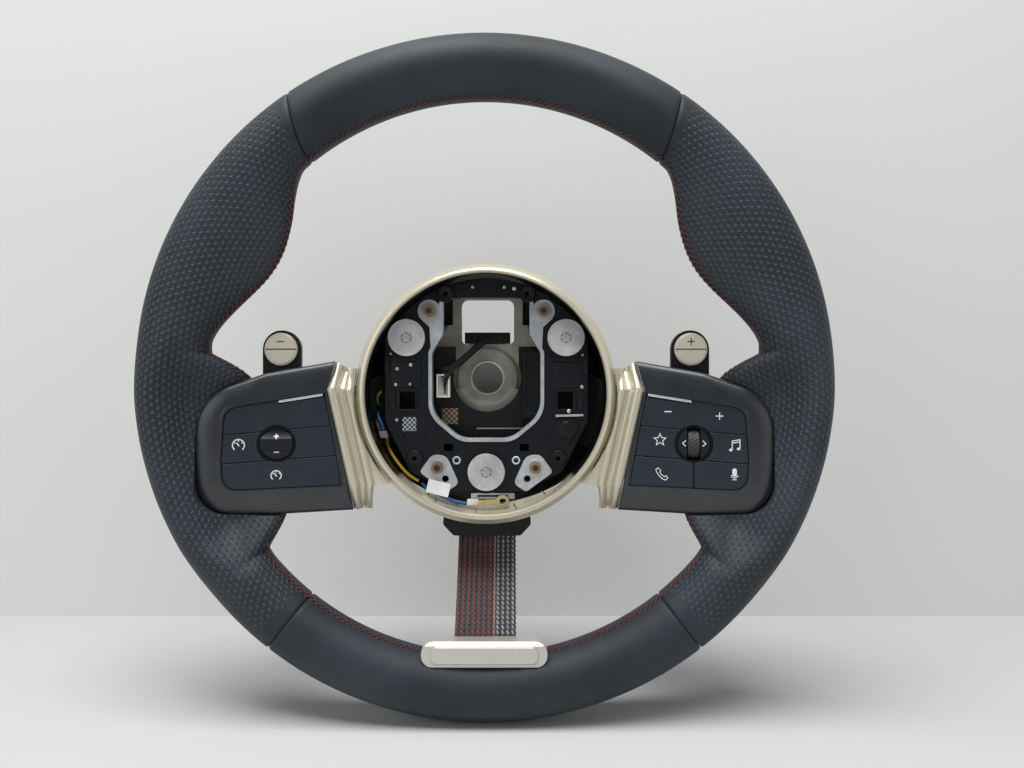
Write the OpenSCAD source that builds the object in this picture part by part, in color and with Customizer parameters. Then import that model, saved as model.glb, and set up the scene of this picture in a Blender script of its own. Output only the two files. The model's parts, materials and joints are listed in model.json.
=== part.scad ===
// Car steering wheel with its airbag removed.
// The wheel stands upright: +X is to the driver's right, +Z is twelve o'clock and -Y faces the driver.
// The origin lies on the column axis, in the face that seats on the column. Depths run backward from
// the rim's mid-plane, which lies one dish ahead of that seat.

/* [Rim] */
// Depth from the rim's mid-plane to the column seat
dish = 70; // [60:1:85]
// Radius of the rim's centre line
rim_r = 163; // [158:0.5:168]
// Half width of the rim seen from the front
rim_w = 17; // [15:0.25:18]
// Half depth of the rim from front to back
rim_d = 17.5; // [15.5:0.25:18.5]
// Extra radius of the grips at three and nine o'clock
grip_swell = 2.5; // [0:0.25:4]
// Thickness of the leather
leather_t = 1.4; // [1:0.1:1.8]
// Gap between a soft cover and what it lies on
soft_gap = 0.3; // [0.2:0.05:0.4]
// Gap between two leather panels at a seam
seam_gap = 0.3; // [0.2:0.05:0.6]
// Angle of the upper seams, from the right-hand horizontal
upper_seam = 53.25; // [48:0.25:58]
// Slant of the upper seams across the rim, each way
seam_slant = 2.25; // [0:0.25:3]
// Angle of the lower seams below the horizontal
lower_seam = 51.3; // [48:0.25:56]
// How far the thumb lobes reach in from the rim
lobe_depth = 21.6; // [10:0.2:26]
// Angle of the thumb lobes above the horizontal
lobe_at = 29; // [27:0.5:31]
// Half the angle that a thumb lobe spans
lobe_span = 22; // [19:0.5:23]
// Radius to which the leather reaches in along a spoke
root_r = 121.8; // [120.5:0.1:124]
// Angle of a spoke root below the horizontal
root_at = 16.5; // [15.5:0.25:17.5]
// Half the angle that a spoke root spans
root_span = 21.5; // [20:0.25:22.5]
// How far a spoke root leans back at its inner end
root_back = 15; // [11:0.5:16]
// How far the rim's crest moves outward beside a pod
crest_out = 8; // [6:0.25:9]

/* [Armature] */
// Radius of the cast ring inside the rim
core_r = 5.5; // [4:0.25:6]
// Radius of the column bore
bore_r = 9; // [7:0.1:11]
// Radius of the cast boss round the column bore
boss_r = 17.8; // [15:0.1:20]
// Depth of the boss from its front face to the column seat
boss_len = 25; // [20:0.5:28]
// Thickness of the cast hub plate
plate_t = 6; // [4:0.5:7]
// Width of the window above the boss
window_w = 30.8; // [24:0.2:32]
// Height of the window above the boss
window_h = 26.2; // [20:0.2:28]

/* [Hub] */
// How far the trim ring's centre lies below the column axis
hub_drop = 8.6; // [7:0.1:10]
// Outer radius of the trim ring
ring_r = 70.9; // [69:0.1:72]
// Width of the trim ring seen from the front
ring_w = 5.7; // [5.4:0.1:6.4]
// Depth of the trim ring's front lip
ring_front = 8.2; // [7:0.1:10]
// Depth of the trim ring's rear edge
ring_rear = 30; // [28:0.5:32]
// Wall of the rear cover
cover_t = 2.2; // [1.8:0.1:2.8]
// Radius of the opening in the rear cover for the column
cover_hole = 31; // [24:0.5:33]

/* [Pods] */
// Distance from the axis to a pod's inner end
pod_x = 72; // [71:0.1:73]
// Depth of a pod's front at its inner end
pod_front = 6; // [5:0.1:7]
// Angle at which a pod leans toward the driver at its outer end
pod_tilt = 10; // [9:0.25:11]
// Thickness of a pod from front to back
pod_t = 10; // [9.6:0.1:11]
// Depth of the key well in a pod
well = 8; // [7.8:0.1:8.4]
// Gap between two keys
key_gap = 0.5; // [0.4:0.05:0.8]
// Gap between a key and the wall of its well
well_gap = 0.25; // [0.15:0.05:0.4]
// Thickness of a key
key_t = 4; // [3:0.1:4.2]
// How far the keys lie behind the pod's front
key_front = 0.8; // [0.5:0.1:1]
// Travel of a pressed key
key_travel = 0.5; // [0.3:0.05:0.6]
// Radius of the round control
dial_r = 8.4; // [7.5:0.1:8.6]
// Radius of the thumb roller
roller_r = 8.2; // [7:0.1:8.4]
// Width of the thumb roller
roller_w = 6.3; // [5:0.1:6.5]
// Radius of the roller's axle
axle_r = 1; // [0.8:0.05:1.2]
// Radial clearance of the turning and sliding fits
fit = 0.05; // [0.03:0.01:0.08]

/* [Paddles] */
// Distance from the axis to a paddle's centre
paddle_x = 111.4; // [110:0.1:112.5]
// Height of a paddle's cap above the axis
paddle_z = 15.5; // [12:0.1:20]
// Half width of a paddle
paddle_w = 10.4; // [9:0.1:10.6]
// Radius of a paddle's cap
paddle_cap = 8.9; // [8:0.1:9.2]
// Depth of a paddle's front face
paddle_front = 15; // [14.5:0.1:16]
// Thickness of a paddle
paddle_t = 4; // [3:0.1:4.5]
// Height of the paddle's hinge below the axis
hinge_drop = 10; // [9.5:0.1:10.5]
// Radius of the paddle's hinge pin
pin_r = 1.5; // [1.2:0.05:1.8]

/* [Horn carrier] */
// Depth of the horn carrier's front face
horn_front = 21.5; // [21:0.1:22.5]
// Thickness of the horn carrier
horn_t = 5; // [4:0.1:5.5]
// Travel of the horn carrier when it is pressed
horn_travel = 1.5; // [0.8:0.1:2]
// Radius of the discs that hold the horn carrier
disc_r = 10.25; // [9.5:0.05:10.5]
// Thickness of the discs
disc_t = 2.5; // [2:0.1:3]
// Radius of the shoulder under a disc
shoulder_r = 3; // [2.5:0.05:3.5]
// Radius of the yoke's bolt shanks
bolt_r = 1.9; // [1.5:0.05:2.1]

/* [Strap] */
// Width of the woven strap
strap_w = 32.6; // [30:0.2:34]
// Thickness of the woven strap between its ridges
strap_t = 1.3; // [1:0.1:1.5]
// Width of the rim badge
badge_w = 65; // [60:0.5:68]
// Height of the rim badge
badge_h = 13; // [11:0.25:13.5]

/* [Hidden] */
fine = 96;
small = 48;
sides = 20;
eps = 0.01;
core_line = rim_r + 5;
ring_in = ring_r - ring_w;
hub_low = -(hub_drop + ring_r);
boss_front = dish - boss_len;
plate_front = boss_front + 2;
plate_back = plate_front + plate_t;
window_z = 19.9;
disc_at = [[44, 22.2], [-44, 22.2], [0, -52]];
screw_at = [[38, -20], [-38, -20], [0, -38]];
ear_at = [[31.6, 37], [27.1, -49.7]];
dial_at = [38.4, -35];
key_back = key_front + key_t;
board_front = well - 1.8;
board_back = well - 0.2;
tray_front = 36;

// Unit vector along v
function unit(v) = v / norm(v);

// Points of a round corner at b, between the edges to a and to c
function corner(a, b, c, r, n) = r == 0 ? [b] :
    let (u = unit(a - b), w = unit(c - b), half = acos(u * w) / 2,
         o = b + unit(u + w) * r / sin(half), s = b + u * r / tan(half), e = b + w * r / tan(half),
         a0 = atan2(s.y - o.y, s.x - o.x), turn = (atan2(e.y - o.y, e.x - o.x) - a0 + 540) % 360 - 180)
    [for (i = [0:n]) o + r * [cos(a0 + turn * i / n), sin(a0 + turn * i / n)]];

// Outline p with its corners rounded to the radii r
function rounded(p, r, n = 5) =
    [for (i = [0:len(p) - 1]) each corner(p[(i + len(p) - 1) % len(p)], p[i], p[(i + 1) % len(p)], r[i], n)];

// Counter-clockwise outline p moved inward by g
function inset(p, g) = [for (i = [0:len(p) - 1])
    let (u = unit(p[i] - p[(i + len(p) - 1) % len(p)]), w = unit(p[(i + 1) % len(p)] - p[i]),
         a = [-u.y, u.x], b = [-w.y, w.x])
    p[i] + (a + b) * g / (1 + a * b)];

// Four-cornered band between two heights, from x0 to x1
function box_of(x0, z0, x1, z1) = [[x0, z0], [x1, z0], [x1, z1], [x0, z1]];

// Height of a straight line through a and b at u
function line_at(a, b, u) = a.y + (b.y - a.y) * (u - a.x) / (b.x - a.x);

// Two triangles for each quad between loop i and loop i + 1, n points to a loop
function strip(i, n, m, flip) = [for (j = [0:n - 1])
    let (a = i * n + j, b = i * n + (j + 1) % n, c = ((i + 1) % m) * n + (j + 1) % n, d = ((i + 1) % m) * n + j)
    each flip ? [[a, c, b], [a, d, c]] : [[a, b, c], [a, c, d]]];

// Solid skin over a list of loops, each with as many points as the next
module skin(loops) {
    n = len(loops[0]);
    m = len(loops);
    polyhedron(
        points = [for (l = loops) each l],
        faces = concat(
            [for (i = [0:m - 2]) each strip(i, n, m, false)],
            [[for (j = [n - 1:-1:0]) j], [for (j = [0:n - 1]) (m - 1) * n + j]]),
        convexity = 6);
}

// Open-ended wall between the skins over two lists of loops
module wall(outer, inner) {
    n = len(outer[0]);
    m = len(outer);
    off = n * m;
    last = (m - 1) * n;
    polyhedron(
        points = concat([for (l = outer) each l], [for (l = inner) each l]),
        faces = concat(
            [for (i = [0:m - 2]) each strip(i, n, m, false)],
            [for (i = [0:m - 2]) for (f = strip(i, n, m, true)) [f[0] + off, f[1] + off, f[2] + off]],
            [for (j = [0:n - 1]) let (k = (j + 1) % n) each [[j, off + j, off + k], [j, off + k, k]]],
            [for (j = [0:n - 1]) let (k = (j + 1) % n)
                each [[last + j, last + k, off + last + k], [last + j, off + last + k, off + last + j]]]),
        convexity = 8);
}

// Round tube of radius r along a list of points
module tube(path, r, n = 8) {
    m = len(path);
    skin([for (i = [0:m - 1])
        let (t = unit(path[min(i + 1, m - 1)] - path[max(i - 1, 0)]),
             a = unit(cross(t, abs(t.z) > 0.9 ? [1, 0, 0] : [0, 0, 1])), b = cross(t, a))
        [for (j = [0:n - 1]) path[i] + r * (cos(360 * j / n) * a - sin(360 * j / n) * b)]]);
}

// Smooth path through the points p, k steps to a span
function smooth(p, k = 3) = concat([for (i = [0:len(p) - 2])
    let (a = p[max(i - 1, 0)], b = p[i], c = p[i + 1], d = p[min(i + 2, len(p) - 1)])
    for (s = [0:k - 1]) let (t = s / k)
    0.5 * (2 * b + (c - a) * t + (2 * a - 5 * b + 4 * c - d) * t * t + (3 * b - a - 3 * c + d) * t * t * t)],
    [p[len(p) - 1]]);

// Front-view shape extruded from depth d0 to depth d1
module slab(d0, d1) translate([0, d1, 0]) rotate([90, 0, 0]) linear_extrude(d1 - d0) children();

// Side-view shape (depth, height) extruded from x0 to x1
module across(x0, x1) translate([x0, 0, 0]) rotate([90, 0, 90]) linear_extrude(x1 - x0) children();

// Top-view shape (x, depth) extruded from z0 to z1
module upward(z0, z1) translate([0, 0, z0]) linear_extrude(z1 - z0) children();

// Profile (radius, depth) turned about the column axis
module turned() rotate([-90, 0, 0]) rotate_extrude($fn = fine) children();

// Round bar along the depth at p, from d0 to d1
module bar(p, r, d0, d1, n = small) translate([p.x, d0, p.y]) rotate([-90, 0, 0]) cylinder(r = r, h = d1 - d0, $fn = n);

// Places what is drawn in depths behind the rim's mid-plane
module placed() translate([0, -dish, 0]) children();

// Draws its children on the right, or mirrored on the left
module on_side(side) mirror([side < 0 ? 1 : 0, 0, 0]) children();

// Places what is drawn in a pod's own frame: u outward, depth behind its front, height
module in_pod(side) placed() on_side(side)
    translate([pod_x, pod_front, 0]) rotate([0, 0, -pod_tilt]) children();

// Angle above the horizontal on the nearer side of the wheel
function folded(a) = let (b = (a + 360) % 360) b > 270 ? b - 360 : b > 90 ? 180 - b : b;

// Smooth step from 0 to 1
function step(x) = let (y = max(0, min(1, x))) y * y * (3 - 2 * y);

// Share of a thumb lobe at angle a, and of a spoke root, and of its lean
function lobe(a) = let (x = abs(folded(a) - lobe_at) / lobe_span) x < 1 ? pow(1 - x * x, 1.5) : 0;
function root(a) = let (x = abs(folded(a) + root_at) / root_span) x < 1 ? 1 - pow(x, 6) : 0;
function lean(a) = step(2 - 2 * abs(folded(a) + root_at) / (root_span + 3));

// Outer and inner radius of the rim at angle a
function rim_out(a) = rim_r + rim_w + grip_swell * pow(cos(a), 2);
function rim_in(a) = rim_r - rim_w - lobe_depth * lobe(a) - (rim_r - rim_w - root_r) * root(a);

// Section of the rim at angle a, shrunk by g, with n points and a slant across the rim. Its crest stays on
// the rim's centre line, and moves outward beside a pod. Inside the crest it reaches in to a lobe or a root.
function rim_loop(a, g, n, slant = 0) =
    let (ro = rim_out(a) - g, ri = rim_in(a) + g, crest = rim_r + crest_out * lean(a), back = root_back * lean(a))
    [for (i = [0:n - 1])
        let (u = 360 * i / n, t = u + 10 * sin(2 * u), x = max(0, -cos(t)),
             r = cos(t) > 0 ? crest + (ro - crest) * cos(t) : crest - (crest - ri) * x,
             d = (rim_d - g) * sin(t) * (1 - 0.45 * lobe(a) * x * x) + back * step(sin(t) < 0 ? x / 0.42 : x),
             b = a + slant * cos(t))
        [r * cos(b), d, r * sin(b)]];

// Angles of the grip's sections, closer together where the spoke root leaves
seam_step = seam_gap / 2 / rim_r * 57.3;
grip_low = -lower_seam + seam_step;
grip_high = upper_seam - seam_step;
grip_angles = concat(
    [for (i = [0:2]) grip_low + (-root_at - root_span - grip_low) * i / 3],
    [for (x = [-1, -0.94, -0.85, -0.7, -0.4, 0, 0.4, 0.7, 0.85, 0.94]) -root_at + root_span * x],
    [for (i = [0:14]) -root_at + root_span + (grip_high + root_at - root_span) * i / 14]);

// Angles of the sections of the top and bottom panels
top_span = 90 - upper_seam - seam_step;
top_angles = [for (i = [0:13]) 90 + top_span * (i / 6.5 - 1)];
low_span = 90 - lower_seam - seam_step;
low_angles = [for (i = [0:13]) 270 + low_span * (i / 6.5 - 1)];

// Slant of the section at angle a, which fades out away from the upper seams
function slant_at(a) = sign(cos(a)) * seam_slant * max(0, 1 - abs(folded(a) - upper_seam) / 14);

// Outline of a pod in its own frame, counter-clockwise from its lower inner end
pod_outline = [[-1.5, -71.2], [40, -72.6], [78.9, -70.8], [79.5, -36], [79, -10.2], [44, 2.4], [8.2, 8.9]];
pod_radii = [0, 30, 16, 0, 26, 36, 0];

// Outline of the key well in a pod, the same way round
field = [[4.6, -57.5], [65.6, -59.2], [66.4, -42], [64.6, -17.2], [57.5, -14.9], [13.6, -7.8]];
field_radii = [0.5, 7.5, 12, 6.5, 5, 0.5];

// Where the wing borders a pod: bottom, upper kink and top
wing_edge = [[-1.8, -71.2], [12.5, -6.3], [7.9, 8.9]];

// Ends of the lines between the upper, middle and lower keys
row_a = [[8.9, -25.5], [63.3, -29.9]];
row_b = [[6.4, -41.5], [64.5, -45.1]];
bar_u = [14.6, 37.2];
bar_drop = 2.6;

// Shape of a pod's outline grown by g
module pod_shape(g = 0) polygon(rounded(inset(pod_outline, -g), [for (r = pod_radii) r == 0 ? 0 : r + g]));

// Everything inward of the wing's border, moved outward by g
module wing_side(g) polygon([[-40, -90], [wing_edge[0].x + g - 4, -90], [wing_edge[0].x + g, -71.2],
    [wing_edge[1].x + g, -6.3], [wing_edge[2].x + g, 8.9], [wing_edge[2].x + g - 6, 30], [-40, 30]]);

// Room that a pod takes, grown by g, from the front back to depth d
module pod_room(side, g, d) in_pod(side) slab(-30, d) pod_shape(g);

// Housing of a switch pod, with its sloping bezel, key well and dial collar
module pod_housing(side) color("dimgray") in_pod(side) difference() {
    union() {
        difference() {
            hull() {
                slab(3.5, pod_t) pod_shape();
                slab(0, 0.1) polygon(rounded(inset(field, -1), [for (r = field_radii) r + 1]));
            }
            slab(-1, well) polygon(rounded(field, field_radii));
            slab(-1, pod_t + 1) wing_side(0.3);
        }
        bar(dial_at, dial_r + 1.35, key_front + 0.4, well + eps);
        if (side > 0) slab(board_front - 0.8, well + eps) for (s = [-1, 1])
            polygon(box_of(dial_at.x + s * (roller_w / 2 + 1.3) - 0.8, dial_at.y - 2.6,
                dial_at.x + s * (roller_w / 2 + 1.3) + 0.8, dial_at.y + 2.6));
    }
    difference() {
        bar(dial_at, dial_r + 0.5, -1, side > 0 ? pod_t + 1 : well);
        if (side > 0) slab(board_front - 0.8, pod_t + 2) for (s = [-1, 1])
            polygon(box_of(dial_at.x + s * (roller_w / 2 + 3.5) - 3, dial_at.y - 2.6,
                dial_at.x + s * (roller_w / 2 + 3.5) + 3, dial_at.y + 2.6));
        if (side > 0) difference() {
            bar(dial_at, dial_r + 0.5, well, pod_t + 2);
            slab(well - 1, pod_t + 3) polygon(box_of(dial_at.x - roller_w / 2 - 0.5, dial_at.y - 30,
                dial_at.x + roller_w / 2 + 0.5, dial_at.y + 30));
        }
    }
    if (side > 0) roller_line(axle_r + fit, 4.6);
}

module pod_left() pod_housing(-1);
module pod_right() pod_housing(1);

// Round bar on the roller's axis, reaching half_l past the roller's middle
module roller_line(r, half_l) translate([dial_at.x - half_l, roller_depth, dial_at.y])
    rotate([0, 90, 0]) cylinder(r = r, h = 2 * half_l, $fn = small);
roller_depth = board_front + 0.8;

// Circuit board under the keys, with a dome switch under each key
module board(side, domes) color("darkgreen") in_pod(side) difference() {
    union() {
        slab(board_front, board_back) intersection() {
            polygon(rounded(inset(field, 0.6), [for (r = field_radii) max(r - 0.6, 0)]));
            polygon(box_of(9, -56, 62, -12));
        }
        for (p = domes) bar(p, 2.2, key_back + key_travel + 0.1, board_front + eps);
    }
    bar(dial_at, dial_r + 1.7, 0, well);
}
left_domes = [[24, -19], [46, -21], [17, -33], [57, -36], [24, -50], [50, -51]];
right_domes = [[17, -18], [54, -22], [17, -33], [57, -36], [20, -50], [50, -51]];
module board_left() board(-1, left_domes);
module board_right() board(1, right_domes);

// Light bar along the top of a key field
module light_bar(side) color("gainsboro") in_pod(side) slab(key_front, key_front + 2.5)
    polygon([for (p = [[bar_u[0], -1.75], [bar_u[1], -1.75], [bar_u[1], -0.45], [bar_u[0], -0.45]])
        [p.x, line_at(field[5], field[4], p.x) + p.y]]);
module light_left() light_bar(-1);
module light_right() light_bar(1);

// Key that fills the band between two lines of the well, clear of the dial, from u0 to u1
module key(side, low, high, u0 = -5, u1 = 80, notch = false) in_pod(side) slab(key_front, key_back)
    difference() {
        intersection() {
            polygon(rounded(inset(field, well_gap), [for (r = field_radii) max(r - well_gap, 0)]));
            polygon([[u0, low[0]], [u1, low[1]], [u1, high[1]], [u0, high[0]]]);
        }
        translate(dial_at) circle(dial_r + 1.35 + well_gap, $fn = small);
        if (notch) polygon([for (p = [[-5, -bar_drop], [bar_u[1] + 0.4, -bar_drop], [bar_u[1] + 0.4, 8], [-5, 8]])
            [p.x, line_at(field[5], field[4], p.x) + p.y]]);
    }

// Heights of a row line, moved up by g, at the ends of a key that runs from u0 to u1
function ends(row, g, u0 = -5, u1 = 80) = [line_at(row[0], row[1], u0) + g, line_at(row[0], row[1], u1) + g];
open_top = [20, 20];
open_low = [-80, -80];
half_gap = key_gap / 2;

module set_key() color([0.12, 0.13, 0.16]) key(-1, ends(row_a, half_gap), open_top, notch = true);
module cruise_key() color([0.12, 0.13, 0.16])
    key(-1, ends(row_b, half_gap, dial_at.x), ends(row_a, -half_gap, dial_at.x), dial_at.x);
module spare_key() color([0.12, 0.13, 0.16])
    key(-1, ends(row_b, half_gap, -5, dial_at.x), ends(row_a, -half_gap, -5, dial_at.x), -5, dial_at.x);
module mode_key() color([0.12, 0.13, 0.16]) key(-1, open_low, ends(row_b, -half_gap));

// Rocking key of the volume control, and the bead on its back that it tips on
module volume_key() color([0.12, 0.13, 0.16]) {
    key(1, ends(row_a, half_gap), open_top, notch = true);
    in_pod(1) translate([36, key_back + 0.6, -24]) cylinder(r = 0.7, h = 8, $fn = small);
}
module star_key() color([0.12, 0.13, 0.16])
    key(1, ends(row_b, half_gap, -5, dial_at.x), ends(row_a, -half_gap, -5, dial_at.x), -5, dial_at.x);
module note_key() color([0.12, 0.13, 0.16])
    key(1, ends(row_b, half_gap, dial_at.x), ends(row_a, -half_gap, dial_at.x), dial_at.x);
module phone_key() color([0.12, 0.13, 0.16])
    key(1, open_low, ends(row_b, -half_gap, -5, dial_at.x - half_gap), -5, dial_at.x - half_gap);
module voice_key() color([0.12, 0.13, 0.16])
    key(1, open_low, ends(row_b, -half_gap, dial_at.x + half_gap), dial_at.x + half_gap);

// Round two-way rocker with a ridge across its middle, and the bead it tips on
module speed_rocker() color([0.14, 0.15, 0.17]) in_pod(-1) {
    difference() {
        bar(dial_at, dial_r, key_front - 0.6, key_back);
        for (s = [-1, 1]) translate([dial_at.x, key_front - 7.9, dial_at.y + s * 8.6]) rotate([0, 90, 0])
            cylinder(r = 9.4, h = 2 * dial_r + 2, center = true, $fn = fine);
    }
    intersection() {
        bar(dial_at, dial_r - 1, key_back - 1, well);
        translate([dial_at.x, well - 1.8, dial_at.y]) rotate([0, 90, 0])
            cylinder(r = 1.5, h = 2 * dial_r - 4, center = true, $fn = small);
    }
    slab(key_back - eps, well - 1.8) translate(dial_at) square([2 * dial_r - 4, 2], center = true);
}

// One side of the round control on the right pod, beside the roller
module dial_key(s) color([0.14, 0.15, 0.17]) in_pod(1) slab(key_front - 0.5, key_back - 0.4) intersection() {
    translate(dial_at) circle(dial_r, $fn = small);
    polygon(s < 0 ? box_of(dial_at.x - 20, dial_at.y - 20, dial_at.x - roller_w / 2 - 0.35, dial_at.y + 20) :
        box_of(dial_at.x + roller_w / 2 + 0.35, dial_at.y - 20, dial_at.x + 20, dial_at.y + 20));
}
module back_key() dial_key(-1);
module next_key() dial_key(1);

// Thumb roller with a ribbed tread
module scroll_roller() color([0.2, 0.2, 0.21]) in_pod(1) difference() {
    union() {
        roller_line(roller_r - 0.4, roller_w / 2);
        translate([dial_at.x - roller_w / 2, roller_depth, dial_at.y]) rotate([0, 90, 0])
            linear_extrude(roller_w) for (i = [0:23]) rotate(i * 15)
                translate([roller_r - 0.7, 0]) polygon([[0, -0.5], [0.7, -0.2], [0.7, 0.2], [0, 0.5]]);
    }
    roller_line(axle_r + fit, roller_w);
}
module roller_axle() color("silver") in_pod(1) roller_line(axle_r, 4.4);

// Ribbed wing between a pod and the trim ring: ridge, groove, ridge, and a flat fin
wing_profile = [[0, 9.5], [0, 1.6], [0.5, 0], [1.6, -1], [2.8, -1.3], [4.2, -0.9], [5.2, 0.2], [5.7, 1.8],
    [6.6, 2.8], [8.6, 2.8], [9.4, 1.6], [10.2, 0.3], [11.6, -0.3], [13, 0.4], [13.8, 2.6], [14, 9.5]];
wing_stations = [[-71.2, 0.72, 7], [-66, 0.8, 3.6], [-60, 0.92, 0.9], [-57, 1, 0.2], [-52, 1, 0], [-12, 1, 0],
    [-6.3, 1, 0.2], [-3, 0.95, 1.6], [3, 0.84, 4.6], [8.9, 0.74, 7.4]];
function wing_u(z) = z < wing_edge[1].y ? line_at([wing_edge[0].y, wing_edge[0].x], [wing_edge[1].y, wing_edge[1].x], z) :
    line_at([wing_edge[1].y, wing_edge[1].x], [wing_edge[2].y, wing_edge[2].x], z);
fin_outline = [[70.5, 3], [60.5, -58], [50, -56.8], [58, -30], [60, 3]];
module wing(side) color([0.75, 0.71, 0.62]) difference() {
    union() {
        in_pod(side) skin([for (s = wing_stations) [for (p = wing_profile)
            [wing_u(s[0]) - p.x * s[1], min(p.y + s[2], 9.4 + p.y * 0.01), s[0]]]]);
        placed() on_side(side) slab(ring_front + 1.5, ring_front + 5) polygon(fin_outline);
    }
    placed() translate([0, 0, -hub_drop]) bar([0, 0], ring_r + 1.6, -5, dish, fine);
}
module wing_left() wing(-1);
module wing_right() wing(1);

// Trim ring round the airbag opening, hollow from behind
module hub_ring() color([0.75, 0.71, 0.62]) placed() translate([0, 0, -hub_drop]) difference() {
    turned() polygon([[ring_in, ring_front + 1.2], [ring_in + 0.7, ring_front + 0.2],
        [ring_in + 1.4, ring_front], [ring_in + 2.6, ring_front + 0.5], [ring_r - 0.6, ring_front + 4.2],
        [ring_r, ring_front + 5.4], [ring_r + 1.2, ring_rear], [ring_r - 1, ring_rear],
        [ring_r - 2, ring_front + 7.5], [ring_in + 2.2, ring_front + 3.6], [ring_in + 1.4, ring_rear],
        [ring_in - 0.4, ring_rear]]);
    for (a = [205:20:335]) rotate([0, -a, 0]) translate([ring_in - 2, ring_front + 6, -0.35])
        cube([3.5, 9, 0.7]);
    for (s = [-1, 1]) translate([s * (ring_r - 1), 0, 0]) slab(ring_rear - 4, ring_rear + 1)
        polygon(box_of(-6, -34, 6, 14));
}

// Outline of a spoke arm seen from the front, grown by g, up to the cast ring
function arm_front(g) = inset([[20, -30], [60, -40], [98, -53], [126, -57.5], [150, -58], [core_line - 3, -60],
    [core_line + 1, -18], [150, -21], [126, -20.5], [122, -15.5], [98, -15.5], [60, 2], [20, 14]], -g);

// Outline of a spoke arm seen from above, grown by g
function arm_top(g) = inset([[20, plate_front], [50, plate_front - 6], [75, 28], [100, 18.8], [117, 15.8], [127, 10],
    [150, 5.4], [core_line - 8.6, 3], [core_line - 7, 0], [core_line - 2, 0], [core_line - 3, 7], [core_line - 9, 13.5],
    [150, 15.5], [124, 19.5], [118, 22.5], [100, 28], [75, 40], [50, plate_back - 1], [20, plate_back]], -g);

// Spoke arm grown by g, for the casting itself and for the holes that it passes through
module arm(g) intersection() {
    slab(-20, dish) polygon(arm_front(g));
    upward(-80, 30) polygon(arm_top(g));
}

// Channel that lightens a spoke arm from behind
module arm_channel() intersection() {
    slab(-20, dish) polygon([[44, -30], [98, -49], [118, -52], [118, -20], [98, -20], [44, -2]]);
    upward(-80, 30) polygon([[44, plate_front - 0.5], [75, 32.5], [100, 23], [118, 19.5], [118, 40],
        [75, 60], [44, 60]]);
}

// Cast light-alloy armature: rim ring, two spoke arms, hub plate, posts and column boss
module armature() color([0.47, 0.46, 0.44]) placed() difference() {
    union() {
        turned() translate([core_line, 0]) circle(core_r, $fn = small);
        for (s = [-1, 1]) on_side(s) difference() {
            arm(0);
            arm_channel();
        }
        slab(plate_front, plate_back) {
            circle(34, $fn = fine);
            polygon(rounded(box_of(-window_w / 2 - 5, 0, window_w / 2 + 5, window_z + window_h + 4.5),
                [0, 0, 6, 6]));
            for (p = disc_at) translate(p) circle(9, $fn = small);
            polygon([[-44, 31], [-53, 22], [-36, -6], [36, -6], [53, 22], [44, 31]]);
            polygon([[-20, -20], [-9, -52], [9, -52], [20, -20]]);
        }
        for (p = disc_at) bar(p, 5, horn_front + horn_t + horn_travel + 0.5, plate_front + eps);
        for (p = screw_at) bar(p, 4, plate_front + 1, cover_back - cover_t - 0.2);
        bar([0, 0], boss_r, boss_front, dish, fine);
        turned() polygon([[boss_r - 1, plate_back - 1], [boss_r + 6, plate_back - 1],
            [boss_r + 1, dish - 6], [boss_r - 1, dish - 6]]);
    }
    bar([0, 0], bore_r, boss_front - 1, dish + 1, fine);
    bar([0, 0], bore_r + 4.2, boss_front - 1, boss_front + 1.2, fine);
    slab(plate_front - 20, plate_back + 1) translate([0, window_z + window_h / 2])
        polygon(rounded(box_of(-window_w / 2, -window_h / 2, window_w / 2, window_h / 2), [3, 3, 4, 4]));
    for (p = disc_at) bar(p, 2.5, horn_front, plate_back + 1);
    for (p = screw_at) bar(p, 2 + fit, plate_back - 3, dish);
}

// Moulded foam over the cast ring, with room for the arms, the pods and the badge
function left_of(list) = [for (i = [len(list) - 1:-1:0]) 180 - list[i]];
foam_ring = concat(grip_angles, top_angles, left_of(grip_angles), low_angles);
module foam_blank() {
    m = len(foam_ring);
    n = sides;
    polyhedron(
        points = [for (a = foam_ring) each rim_loop(a, leather_t + soft_gap, n, slant_at(a))],
        faces = [for (i = [0:m - 1]) each strip(i, n, m, false)],
        convexity = 6);
}
module rim_foam() color("darkslategray") difference() {
    placed() foam_blank();
    placed() turned() translate([core_line, 0]) circle(core_r + soft_gap, $fn = small);
    for (s = [-1, 1]) {
        placed() on_side(s) arm(soft_gap);
        pod_room(s, soft_gap, pod_t + soft_gap);
    }
    badge_room(soft_gap);
}

// Leather panel over the angles a
module leather(angles) wall(
    [for (a = angles) rim_loop(a, 0, sides, slant_at(a))],
    [for (a = angles) rim_loop(a, leather_t, sides, slant_at(a))]);

module leather_top() color([0.2, 0.22, 0.25]) placed() leather(top_angles);
module leather_bottom() color([0.2, 0.22, 0.25]) difference() {
    placed() leather(low_angles);
    badge_room(soft_gap);
}
module leather_grip(side) color([0.2, 0.22, 0.25]) difference() {
    placed() leather(side > 0 ? grip_angles : left_of(grip_angles));
    placed() on_side(side) arm(soft_gap);
    pod_room(side, soft_gap, pod_t + soft_gap);
}
module leather_left() leather_grip(-1);
module leather_right() leather_grip(1);

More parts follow.
